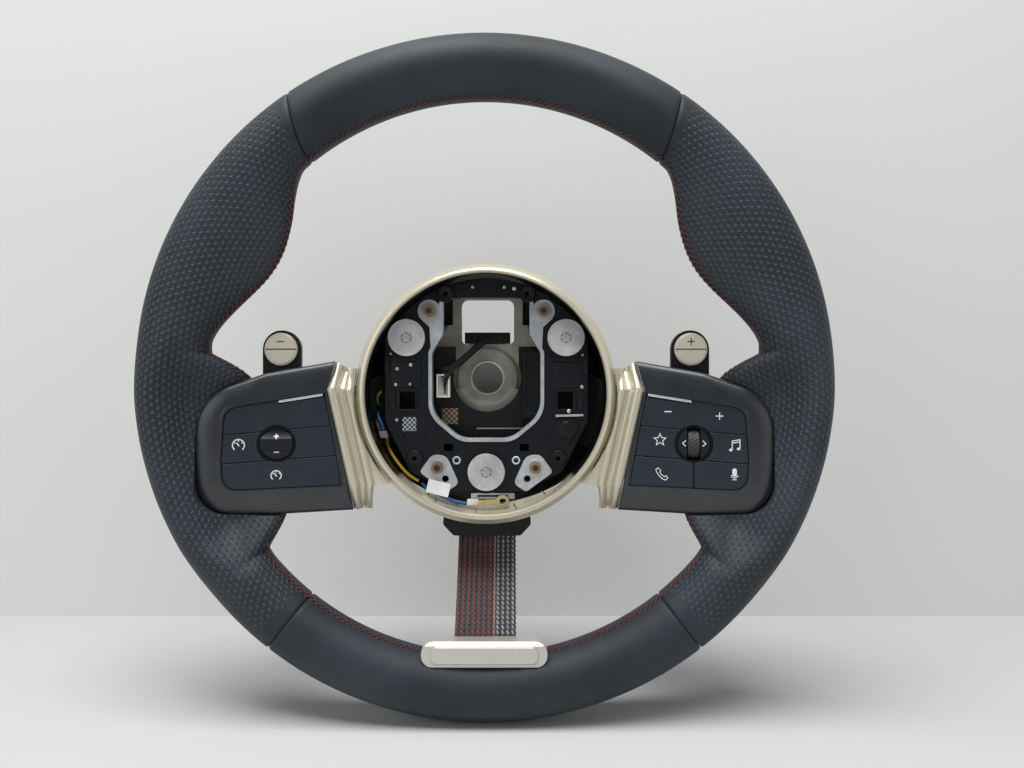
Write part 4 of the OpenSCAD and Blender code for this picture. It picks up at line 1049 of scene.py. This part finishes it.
WING_PROFILE = [(0, 9.5), (0, 1.6), (0.5, 0), (1.6, -1), (2.8, -1.3), (4.2, -0.9), (5.2, 0.2), (5.7, 1.8),
                (6.6, 2.8), (8.6, 2.8), (9.4, 1.6), (10.2, 0.3), (11.6, -0.3), (13, 0.4), (13.8, 2.6), (14, 9.5)]
WING_STATIONS = [(-71.2, 0.72, 7), (-66, 0.8, 3.6), (-60, 0.92, 0.9), (-57, 1, 0.2), (-52, 1, 0), (-32, 1, 0),
                 (-12, 1, 0), (-6.3, 1, 0.2), (-3, 0.95, 1.6), (3, 0.84, 4.6), (8.9, 0.74, 7.4)]
# Above the bend, the wing's top slopes down toward the ring.
WING_SLOPE, WING_BEND, WING_TOP = 6.5 / 14, -8, 8.9
FIN = [(74.2, 5.2), (60.5, -58), (50, -56.8), (58, -30), (60, 5.2)]


def wing_u(z):
    """Where a wing's outer edge runs at height z, in the pod's frame."""
    heights, edge = [p[1] for p in WING_EDGE], [p[0] for p in WING_EDGE]
    return float(np.interp(z, heights, edge))


def ring_tool():
    """Drum a little wider than the trim ring, which trims what would run into it."""
    return solid("ring_tool", *prism(circle((0, -HUB_DROP), RING_R + 0.1, 128), -20, DISH, at))


def wings():
    """Ribbed wings that fold back at both ends, and the fins behind them."""
    profile = smoothed(WING_PROFILE, 4)
    rows = smoothed(WING_STATIONS, 5)
    for side, word in SIDES:
        points = []
        for z, scale, drop in rows:
            slope = WING_SLOPE * float(np.clip((z - WING_BEND) / (WING_TOP - WING_BEND), 0, 1))
            points += [in_pod(side, wing_u(z) - u * scale, min(d + drop, 9.4 + d * 0.01), z - u * slope)
                       for u, d in profile]
        ribs = solid("wing_ribs", points, skin(len(rows), len(profile), capped=True))
        carved(ribs, ring_tool())
        fin = solid("wing_fin", *prism(FIN, 9.7, 13.2, on_side(side)))
        carved(fin, ring_tool())
        bevelled(fin, 0.7, 3)
        for o in (ribs, fin):
            dress(o, "wheel", TRIM, "satin_trim", 40)
        wing = joined(word + "_wing", [ribs, fin], "wheel")
        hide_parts("wing_" + word)


# ---- switch pods ----


def filled_in(outline):
    """Outline with points every half millimetre."""
    line = closed(outline)
    return places_on(line, np.arange(0, lengths(line)[-1], 0.5))


def pods():
    """Pod shells, whose bezel swells out from the key well and rolls over at its edge, and collars round the dials."""
    turns = np.radians(np.arange(0, 360, 1.5))
    ways = np.stack([np.cos(turns), np.sin(turns)], 1)
    outer, lip = (shape[np.argmax(ways @ shape.T, axis=1)] for shape in (
        filled_in(rounded(POD_OUTLINE, POD_RADII, 30)),
        filled_in(rounded(inset(FIELD, -1), [r + 1 for r in FIELD_RADII], 30))))
    share = np.array([0, 0.03, 0.12, 0.25, 0.4, 0.55, 0.68, 0.78, 0.86, 0.92, 0.96, 0.985, 1.0])
    edge_roll = 1 - np.sqrt(1 - np.clip((share - 0.86) / 0.14, 0, 1) ** 2)
    depth = 0.25 * np.minimum(1, share / 0.03) + 3.0 * share ** 2.2 + 1.1 * edge_roll
    loops = [(lip + (outer - lip) * f, d) for f, d in zip(share, depth)] + [(outer, POD_T)]
    for side, word in SIDES:
        put = on_pod(side)
        points = [put(u, d, z) for loop, d in loops for u, z in loop]
        shell = solid(word + "_pod_housing", points, skin(len(loops), len(turns), capped=True))
        edge = [(-40, -90), (WING_EDGE[0][0] - 3.7, -90), (WING_EDGE[0][0] + 0.3, -71.2), (WING_EDGE[1][0] + 0.3, -6.3),
                (WING_EDGE[2][0] + 0.3, 8.9), (WING_EDGE[2][0] - 5.7, 30), (-40, 30)]
        well = solid("well", *prism(rounded(FIELD, FIELD_RADII, 10), -2, 8, put))
        carved(shell, well, solid("side", *prism(edge, -3, 14, put)))
        if side > 0:
            slot = box(DIAL[0] - 3.65, DIAL[1] - 8.9, DIAL[0] + 3.65, DIAL[1] + 8.9)
            carved(shell, solid("slot", *prism(slot, 5, 14, put)))
        bevelled(shell, 0.3, 2, 42)
        dress(shell, "wheel", POD, "pod_plastic", 40, weighed=True)
        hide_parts("pod_" + word)
        collar = solid(word + "_dial_collar", *prism(circle(DIAL, 9.75), 1.2, 8.05, put))
        carved(collar, solid("bore", *prism(circle(DIAL, 8.9), 0, 12, put)))
        bevelled(collar, 0.25)
        dress(collar, "wheel", BLACK, "pod_plastic")


def mark(name, strokes, side, body, front=0.8, width=0.62, filled=(), put=None, material=None, slot="key_plastic"):
    """Printed symbol on a key: lines of a pen of one width and filled shapes, in the pod's own frame."""
    put = put or on_pod(side)
    points, faces = [], []

    def add(outline):
        p, f = prism(outline, front - 0.05, front + 0.15, put)
        faces.extend([[len(points) + k for k in face] for face in f])
        points.extend(p)

    for stroke in strokes:
        line = [np.array(p, float) for p in stroke]
        looped = np.allclose(line[0], line[-1]) and len(line) > 2
        if looped:
            line = line[:-1]
        count = len(line)
        left, right = [], []
        for i, p in enumerate(line):
            before = line[i - 1] if looped or i else p
            after = line[(i + 1) % count] if looped or i < count - 1 else p
            u = unit(p - before) if np.any(p != before) else unit(after - p)
            w = unit(after - p) if np.any(after != p) else u
            n = np.array([-(u + w)[1], (u + w)[0]])
            n = n / max(np.linalg.norm(n), 1e-9)
            reach = width / 2 / max(0.45, math.sqrt(max(0.0, (1 + u @ w) / 2)))
            left.append(p + n * reach)
            right.append(p - n * reach)
        for i in range(count if looped else count - 1):
            k = (i + 1) % count
            add([right[i], right[k], left[k], left[i]])
    for outline in filled:
        add(outline)
    obj = piece(name, points, faces, body, material or INK, slot)
    return dress(outward(obj, merge=False), body, material or INK, slot)


def gauge(centre, radius):
    """Dial symbol: an open ring with a pointer and three ticks."""
    cx, cz = centre
    pointer = [(cx + 0.9, cz + 1.3), (cx - 0.35, cz - 0.5)]
    ticks = [[polar(centre, radius * 0.62, t), polar(centre, radius * 0.98, t)] for t in (35, 90, 145)]
    return [arc(centre, radius, -50, 230, 26), pointer, *ticks]


def level_line(u, z, half):
    return [(u - half, z), (u + half, z)]


def upright_line(u, z, half):
    return [(u, z - half), (u, z + half)]


def note_head(u, z):
    return [(u + 0.95 * math.cos(t), z + 0.7 * math.sin(t)) for t in np.linspace(0, 2 * math.pi, 13)[:-1]]


def dished(u, depth, z):
    """Point on the rocker's two hollow faces, so far behind them."""
    return in_pod(-1, u, max(0.2, -7.1 + math.sqrt(9.4 ** 2 - (abs(z - DIAL[1]) - 8.6) ** 2)) + depth, z)


def symbols():
    """Plain symbols of a common kind on the keys."""
    mark("cruise_symbol", gauge((57.5, -35.4), 3.0), -1, "cruise_key", width=0.6)
    mark("mode_symbol", gauge((38.5, -51.6), 2.6), -1, "mode_key", width=0.55)
    upright = [(38.4, -32.3 + 0.325 * k) for k in range(9)]
    rocker = [level_line(38.4, -31.0, 1.3), upright, level_line(38.4, -39.4, 1.3)]
    mark("rocker_symbols", rocker, -1, "speed_rocker", front=0.0, width=0.7, put=dished)
    volume = [level_line(25.05, -18.0, 1.85), level_line(51.6, -20.2, 1.9), upright_line(51.6, -20.2, 1.9)]
    mark("volume_symbols", volume, 1, "volume_key", width=0.55)
    outline = star((20.9, -33.0), 3.3, 1.45, 5, 90)
    mark("star_symbol", [[*outline, outline[0]]], 1, "star_key", width=0.45)
    u, z = 59.5, -35.4
    beams = [[(u - 1.5, z - 2.4), (u - 1.5, z + 2.2), (u + 2.4, z + 2.9), (u + 2.4, z - 1.8)],
             [(u - 1.5, z + 1.1), (u + 2.4, z + 1.8)]]
    heads = [note_head(u - 2.2, z - 2.5), note_head(u + 1.7, z - 1.9)]
    mark("note_symbol", beams, 1, "note_key", width=0.5, filled=heads)
    u, z = 21.8, -51.0
    handset = [(u + x, z + y) for x, y in (
        (-3.0, 2.4), (-1.9, 3.1), (-0.5, 1.7), (-1.0, 0.9), (-0.4, -0.2), (0.7, -1.1), (1.4, -1.5), (2.4, -1.0),
        (3.1, -2.2), (2.0, -3.3), (0.4, -2.7), (-1.6, -0.8), (-2.8, 1.2), (-3.0, 2.4))]
    mark("phone_symbol", [handset], 1, "phone_key", width=0.42)
    u, z = 59.2, -50.5
    capsule = arc((u, z + 1.9), 1.15, 0, 180, 8) + arc((u, z - 0.1), 1.15, 180, 360, 8)
    stand = [arc((u, z + 0.1), 1.95, 200, 340, 10), [(u, z - 1.8), (u, z - 2.9)], level_line(u, z - 2.9, 1.1)]
    mark("voice_symbol", stand, 1, "voice_key", width=0.45, filled=[capsule])
    for word, u, way in (("back", 34.3, -1.7), ("next", 42.9, 1.7)):
        arrow = [(u, -33.2), (u + way, -34.7), (u, -36.2)]
        mark(word + "_symbol", [arrow], 1, word + "_key", front=0.3, width=0.5)


def keys():
    """Finishes of the keys and the dials' moving parts."""
    for word in ("set", "cruise", "spare", "mode", "volume", "star", "note", "phone", "voice"):
        softened(word + "_key", 0.22, KEY)
    for node in ("speed_rocker", "back_key", "next_key"):
        softened(node, 0.25, DIALS)


def roller():
    """Rubber thumb roller with a slanting diamond knurl."""
    count, rows, half = 144, 15, 3.15
    points, faces = [], []
    for i in range(count):
        a = 2 * math.pi * i / count
        for j in range(rows):
            s = j / (rows - 1)
            w = (s - 0.5) * 2 * half
            ridge = max(0.0, math.cos(a * 26 + w * 2.2)) ** 1.5
            edge = 0.5 if j in (0, rows - 1) else 0.0
            r = 7.75 + 0.42 * ridge * math.sin(math.pi * s) ** 0.4 - edge
            points.append((DIAL[0] + w, 7.0 + r * math.cos(a), DIAL[1] + r * math.sin(a)))
    for i in range(count):
        k = (i + 1) % count
        faces += [[i * rows + j, i * rows + j + 1, k * rows + j + 1, k * rows + j] for j in range(rows - 1)]
    bore = []
    for s in (-1, 1):
        start = len(points)
        points += [(DIAL[0] + s * half, d, z) for d, z in circle((7.0, DIAL[1]), 1.05, count)]
        bore.append(start)
        j = 0 if s < 0 else rows - 1
        faces += [[i * rows + j, (i + 1) % count * rows + j, start + (i + 1) % count, start + i] for i in range(count)]
    faces += [[bore[0] + i, bore[0] + (i + 1) % count, bore[1] + (i + 1) % count, bore[1] + i] for i in range(count)]
    obj = solid("thumb_roller_tread", [in_pod(1, *p) for p in points], faces)
    dress(obj, "thumb_roller", RUBBER, "roller_rubber", 60)
    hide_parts("scroll_roller")


# ---- paddles and badge ----


def paddles():
    """Shift paddles and the marks on their caps."""
    for side, word in SIDES:
        body, put = word + "_paddle", on_side(side)
        softened("paddle_" + word, 0.5, BLACK, segments=3)
        softened("cap_" + word, 0.35, CAP, segments=3)
        strokes = [level_line(111.4, 19.6, 2.0)]
        if side > 0:
            strokes.append(upright_line(111.4, 19.6, 2.0))
        mark(word + "_paddle_symbol", strokes, side, body, front=12.6, width=0.6, put=put, material=GROOVE,
             slot="cap_metal")
        split = box(103.0, 15.25, 119.8, 15.7)
        plate(word + "_cap_split", split, 12.52, 13.0, body, GROOVE, "cap_metal", put=put, mirrored=side < 0)


def badge():
    """Bare badge at the foot of the rim."""
    softened("rim_badge", 0.9, BADGE, segments=3)


# ---- hub ----


CARRIER_PINS = [
    (-49.4, 5.0, 0.95), (-41.8, 7.1, 1.0), (-50.1, -3.8, 0.9), (-42.2, -3.5, 0.8), (52.9, -5.1, 1.0),
    (45.6, -18.4, 1.1), (-49.5, -23.3, 0.9), (-7.6, 50.2, 0.9), (9.9, 50.2, 0.9), (15.4, 49.4, 1.1),
    (-52.8, 13.3, 0.7), (53.2, 12.6, 0.7)]
CARRIER_RIBS = [
    [(56, 2), (53.5, 2), (53.5, 15), (56, 15)], [(50.5, -8), (53.8, -8), (53.8, -17), (50.5, -17)],
    [(26, 42.5), (17, 50.2), (15.8, 49.2), (24.6, 41.6)], [(45, -36), (49, -31), (47.6, -30), (43.6, -35)],
    [(33, -37), (35.5, -31), (34.2, -30.4), (31.8, -36.4)], [(36, 9.5), (52, 9.5), (52, 10.7), (36, 10.7)]]


def carrier_details():
    """Raised blocks, pins and lugs on the horn carrier."""
    own = ("horn", CARRIER, "black_plastic")
    plate("carrier_block", rounded(box(-52.4, -4.6, -36, 9.6), [1.2] * 4, 4), 20.7, 21.6, *own, bevel=0.25)
    plate("carrier_pad", rounded(box(36.5, -5.0, 51.5, 9.0), [1.2] * 4, 4), 21.1, 21.6, *own, bevel=0.2)
    for i, (x, z, r) in enumerate(CARRIER_PINS):
        pin = [(0.02, 19.9), (r * 0.6, 19.95), (r, 20.3), (r, 21.7), (0.02, 21.7)]
        turned(f"carrier_pin_{i}", pin, (x, z), "horn", STEEL, "black_plastic", 24)
    boss = [(1.4, 19.7), (2.0, 19.4), (4.2, 19.4), (4.6, 19.8), (4.6, 21.7), (1.4, 21.7)]
    for i, place in enumerate([(-22.6, 46.5), (22.6, 46.5), (-39.6, -44.6), (39.6, -44.6)]):
        turned(f"carrier_boss_{i}", boss, place, *own, 40)
    lug = (44.4, -27.4)
    hexagon = [(lug[0] + 7.2 * x, lug[1] + 6.2 * z) for x, z in circle((0, 0), 1, 6)]
    plate("carrier_hex_lug", hexagon, 20.5, 21.6, *own, bevel=0.5)
    hole = [(0.02, 20.42), (2.4, 20.42), (2.9, 20.2), (3.4, 20.5), (3.4, 20.8), (0.02, 20.8)]
    turned("carrier_hex_hole", hole, lug, *own, 40)
    bracket = [(38.2, -21.6), (53.6, -21.2), (53.6, -20.0), (38.2, -20.4)]
    plate("carrier_bracket", bracket, 19.6, 21.6, "horn", ZINC, "black_plastic", bevel=0.2)
    for side, word in SIDES:
        put = on_side(side)
        for i, rib in enumerate(CARRIER_RIBS):
            plate(f"carrier_rib_{word}_{i}", rib, 20.4, 21.6, *own, put=put, bevel=0.2, mirrored=side < 0)
        name = "carrier_recess_" + word
        rim = solid(name, *prism(rounded(box(38.2, -18.2, 49, -6.6), [1] * 4, 4), 20.6, 21.6, put))
        carved(rim, solid("hole", *prism(box(39.3, -17.2, 47.9, -7.6), 19, 23, put)))
        dress(bevelled(rim, 0.2), *own)
        eyelet = [(1.4, 20.9), (1.9, 20.7), (2.3, 20.9), (2.3, 21.6), (1.4, 21.6)]
        turned("carrier_eyelet_" + word, eyelet, (side * 16.4, -45.6), "horn", ZINC, "black_plastic", 32)


def code_patch(name, x, z, size, depth, body, slot, pale, dark):
    """Small printed square with an even chequer."""
    made = Finish(name + "_print", pale, 0.6)
    px, py, pz = made.axes()
    cell = size / 6
    chequer = ((px * 1000 / cell).floor() + (pz * 1000 / cell).floor()).modulo(2.0).absolute()
    made.set("Base Color", made.blend(chequer, pale, dark))
    made.set("Normal", made.relief(chequer, 0.00002))
    half = size / 2
    plate(name, box(x - half, z - half, x + half, z + half), depth - 0.1, depth + 0.05, body, made.material, slot)


def boss():
    """Machined collar, cast lobe and bright rim round the column bore."""
    collar = [(9.05, 45.4), (13.3, 45.4), (13.9, 44.6), (17.0, 44.4), (17.7, 45.2), (17.7, 46.3), (13.2, 46.6),
              (9.05, 46.6)]
    turned("boss_collar", collar, (0, 0), "wheel", BOSS, "cast_alloy", 96)
    lobe_line = arc((0, -3.2), 18.8, 190, 350, 40) + arc((0, 0), 14.2, 336, 204, 33)
    plate("boss_lobe", lobe_line, 44.1, 46.6, "wheel", CAST, "cast_alloy", bevel=0.5)
    rim = [(8.95, 45.0), (9.9, 44.9), (10.2, 45.2), (10.2, 45.6), (8.95, 45.6)]
    turned("boss_rim", rim, (0, 0), "wheel", STEEL, "cast_alloy", 96)


def bolts_and_discs():
    """Washers and sockets of the yoke's bolts, with painted shade in the sockets, and the raised rims and stars of the
    horn screws' discs, with painted shade in the wells round the stars.
    """
    washer = [(3.35, 20.2), (4.5, 20.25), (4.7, 20.5), (3.35, 20.5)]
    socket = [(0.02, 19.0), (1.2, 19.0), (1.2, 18.2), (1.85, 18.2), (1.85, 19.6), (0.02, 19.6)]
    for i, place in enumerate(EAR_AT):
        turned(f"bolt_washer_{i}", washer, place, "horn", STEEL, "zinc_steel", 40)
        # the socket's dark brown is painted shade in its hex recess
        turned(f"bolt_socket_{i}", socket, place, "horn", SHADED_SOCKET, "zinc_steel", 24)
    rim = [(9.2, 18.62), (9.9, 18.5), (10.2, 18.75), (10.2, 19.2), (9.2, 19.2)]
    well = [(0.02, 18.66), (3.7, 18.66), (3.9, 18.9), (0.02, 18.9)]
    for i, place in enumerate(DISC_AT):
        turned(f"disc_rim_{i}", rim, place, "wheel", DISC, "zinc_steel", 64)
        # the well is darker grey than the disc: painted shade in the screw's recess
        turned(f"disc_well_{i}", well, place, "wheel", BOSS, "zinc_steel", 40)
        plate(f"disc_star_{i}", star(place, 3.5, 1.7, 6), 18.5, 19.4, "wheel", STEEL, "zinc_steel", bevel=0.2)


def ring_lip():
    """Cream inner lip at the foot of the trim ring, with four thin notches."""
    centre = (0, -HUB_DROP)
    inner = [polar(centre, 61.4 + 4.7 * ((t - 270) / 48) ** 2, t) for t in range(318, 221, -2)]
    plate("ring_lip", arc(centre, 66.3, 222, 318, 48) + inner, 25.2, 26.6, "wheel", LIP, "satin_trim", bevel=0.3)
    for i, t in enumerate((240, 255, 284, 300)):
        a, b = polar((0, 0), 1, t)
        cut = [(a * r - b * s, -HUB_DROP + b * r + a * s) for r, s in box(63.4, -0.3, 66.2, 0.3)]
        plate(f"lip_notch_{i}", cut, 25.1, 25.6, "wheel", GROOVE, "satin_trim")


def hub():
    """Finishes of the pieces in the airbag well, and their small details."""
    for node, width, material in (
            ("horn_carrier", 0.35, CARRIER), ("airbag_yoke", 0.3, ZINC), ("inner_tray", 0.4, BLACK),
            ("control_box", 0.4, BLACK), ("white_plug", 0.2, WHITE), ("window_plug", 0.2, BLACK),
            ("yoke_bolts", 0.2, COPPER), ("horn_screws", 0.2, DISC), ("ground_bar", 0.2, STEEL),
            ("ground_terminal", 0.15, BRASS), ("pod_plug", 0.25, GREY), ("lead_tag", 0.1, PAPER),
            ("strap_clip", 0.4, BLACK), ("bracket_left", 0.4, BLACK), ("bracket_right", 0.4, BLACK)):
        softened(node, width, material)
    for node, material in (
            ("hub_ring", RING), ("rear_cover", COVER), ("armature", CAST), ("cover_screws", STEEL),
            ("roller_axle", STEEL), ("pin_left", STEEL), ("pin_right", STEEL), ("horn_springs", STEEL),
            ("board_left", BOARD), ("board_right", BOARD), ("light_left", GLOW), ("light_right", GLOW)):
        repaint(node, material)
    boss()
    bolts_and_discs()
    ring_lip()
    carrier_details()
    on_wheel, on_horn = ("wheel", "black_plastic"), ("horn", "black_plastic")
    code_patch("tray_patch", -21.2, -21.8, 9.0, 35.95, *on_wheel, shade(150, 132, 108), shade(60, 52, 44))
    code_patch("carrier_patch", -42.6, -25.6, 7.6, 21.45, *on_horn, shade(150, 160, 168), shade(34, 38, 44))
    plate("tray_ledge", box(-6, -29.2, 21, -28.4), 35.5, 36.1, "wheel", GREY, "black_plastic", bevel=0.15)
    crimp = [(-10.9, -70.9), (-4.4, -70.4), (-4.2, -66.9), (-10.6, -67.2)]
    plate("terminal_crimp", crimp, 21.6, 24.5, "wheel", WHITE, "brass", bevel=0.5)


def lead(name, path, radius, material, slot, *nodes):
    """Round wire along a smooth line, which stands for the nodes."""
    line = smoothed(path, 8)
    tree = Tree(name, Radius=radius / 1000, Sides=14, Cover=material)
    curve = tree.node("GeometryNodeMeshToCurve", Mesh=tree["Geometry"])[0]
    ring = tree.node("GeometryNodeCurvePrimitiveCircle", Resolution=tree["Sides"], Radius=tree["Radius"])[0]
    tree.finish(tree.node("GeometryNodeCurveToMesh", Curve=curve, Profile_Curve=ring, Fill_Caps=True)[0], tree["Cover"])
    base = mesh_of(name, [at(*p) for p in line], edges=[(i, i + 1) for i in range(len(line) - 1)])
    obj = dress(outward(tree.grow(name, base, "wheel", slot)), "wheel", material, slot, 60)
    if nodes:
        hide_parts(*nodes)


def leads():
    """Leads round the carrier and the taped harness across the window."""
    harness = [(-1, 39.7, 22), (-6, 36.2, 17.5), (-13, 33.2, 11), (-18.5, 31.4, 6.6), (-24.6, 31, 4.5)]
    lead("window_harness", harness, 2.0, TAPE, "tape", "taped_harness")
    for i in range(5):
        line = [(-17.5 + (i - 2) * 0.4, 31.0 - 0.3 * i, 7.6 - 0.5 * i), (-20.5, 29.6 - 0.2 * i, 4.6 - 0.6 * i),
                (-23.2, 29.0, 2.0 - 1.5 * i), (-24.6 + (i - 2) * 0.5, 30.4, 0.2 - i * 2.2)]
        lead(f"plug_wire_{i}", line, 0.42, TAPE, "tape")
    yellow = [(-57.2, 36.5, -33), (-56.6, 32.4, -36.4), (-54.4, 28.4, -40.6), (-50.6, 26, -46), (-45.8, 24.6, -51.6),
              (-41.6, 24.2, -54.9), (-37.8, 24.6, -57.3)]
    lead("yellow_wire", yellow, 0.9, YELLOW, "yellow_wire", "yellow_lead")
    blue = [(-36, 25.2, -58.6), (-31, 24, -62.5), (-24, 22.6, -65.4), (-17.5, 22.6, -68.4), (-11, 23, -69.6)]
    lead("blue_wire_front", blue, 0.9, BLUE, "blue_wire", "blue_leads")
    lead("blue_wire_back", [(x, d + 2, z - 0.6) for x, d, z in blue], 0.9, BLUE, "blue_wire")
    green = [(-61, 34.6, -15), (-61.4, 30, -14), (-61.2, 27, -11.5), (-60.2, 25, -9), (-58.6, 24.6, -7.6)]
    lead("pod_wire_green", green, 0.7, GREEN, "blue_wire", "pod_wires")
    branch = [(-61, 34.6, -19), (-61.2, 30, -19.6), (-60.4, 26.6, -22), (-58.4, 25, -26), (-57.4, 25, -29.2)]
    lead("pod_wire_blue", branch, 0.9, BLUE, "blue_wire")
    brown = [(-61, 34.6, -23), (-61.6, 30.4, -23.4), (-61.4, 27.4, -25), (-60.4, 25.6, -27.2), (-59.5, 25.2, -29.2)]
    lead("pod_wire_brown", brown, 0.9, BROWN, "blue_wire")


# ---- studio ----


FLOOR_Z, WALL_Y, ROOM = -0.1803, 0.118, 4


def ground(name, color, points, wall=False):
    """Plain one-sided surface of the studio.

    The floor fades out far from the wheel. A wall is there for the eye and for reflections alone, so that it takes
    the wheel's shadow and darkens nothing behind it."""
    made = Finish(name, color, 0.85)
    made.set("Base Color", made.blend(made.noise(3.0).between(0.3, 0.7), [c * 0.985 for c in color], color))
    front = 1 - Value(made, made.nodes.new("ShaderNodeNewGeometry").outputs["Backfacing"])
    if wall:
        rays = made.nodes.new("ShaderNodeLightPath")
        eye, gloss, glass = (Value(made, rays.outputs[f"Is {k} Ray"]) for k in ("Camera", "Glossy", "Transmission"))
        made.set("Alpha", front * (eye + gloss + glass).least(1.0))
    else:
        x, y, z = made.axes()
        made.set("Alpha", front * (1 - (x * x + y * y).root().between(0.9, 2.4)))
    mesh = mesh_of(name, points, [range(len(points))])
    mesh.materials.append(made.material)
    placed(name, mesh)


def lamp(name, place, size, power):
    """Soft square of light that faces the origin."""
    data = bpy.data.lights.new(name, "AREA")
    data.shape, data.size, data.size_y, data.energy = "RECTANGLE", size[0], size[1], power
    obj = placed(name, data)
    obj.location = place
    obj.rotation_euler = (-Vector(place)).to_track_quat("-Z", "Y").to_euler()


def room_light():
    """World that lights softly and that the eye sees pale."""
    world = bpy.data.worlds.new("room")
    world.use_nodes = True
    nodes, links = world.node_tree.nodes, world.node_tree.links
    background, rays, level = nodes["Background"], nodes.new("ShaderNodeLightPath"), nodes.new("ShaderNodeMapRange")
    background.inputs[0].default_value = (*shade(226, 228, 230), 1)
    level.inputs["To Min"].default_value, level.inputs["To Max"].default_value = 0.2, 0.9
    links.new(rays.outputs["Is Camera Ray"], level.inputs["Value"])
    links.new(level.outputs[0], background.inputs[1])
    bpy.context.scene.world = world


def studio():
    """Floor, wall, lamps and the camera at the photograph's viewing angle."""
    floor = [(-ROOM, -3, FLOOR_Z), (ROOM, -3, FLOOR_Z), (ROOM, ROOM, FLOOR_Z), (-ROOM, ROOM, FLOOR_Z)]
    wall = [(-ROOM, WALL_Y, FLOOR_Z), (ROOM, WALL_Y, FLOOR_Z), (ROOM, WALL_Y, 3), (-ROOM, WALL_Y, 3)]
    ground("floor", shade(211, 211, 211), floor)
    ground("wall", shade(216, 217, 215), wall, True)
    # A pale one-sided sheet in the column bore, seen only by the eye and in reflections, stands where the wall in
    # shadow behind the hub shows through; faintly lit there, it gives painted shade.
    ground("bore_shade_sheet", shade(196, 200, 200), [(x, -0.003, z) for x, z in circle((0, 0), 0.00895)], True)
    lamp("ceiling", (-0.15, -0.55, 1.5), (1.5, 0.9), 35)
    lamp("window", (-1.3, -1.3, 0.5), (1.2, 1.2), 6)
    lamp("fill", (1.3, -1.3, 0.2), (1.2, 1.2), 3)
    room_light()
    camera = bpy.data.cameras.new("camera")
    camera.lens, camera.sensor_width = 28.04, 36
    camera.clip_start = 0.01
    eye = placed("camera", camera)
    eye.location = (0.0142, -0.490, -0.0034)
    eye.rotation_euler = (math.pi / 2, 0, 0)
    bpy.context.scene.camera = eye
    bpy.context.scene.view_settings.view_transform = "Standard"


rim_leather()
rim_stitches()
strap()
wings()
pods()
keys()
symbols()
roller()
paddles()
badge()
hub()
leads()
studio()
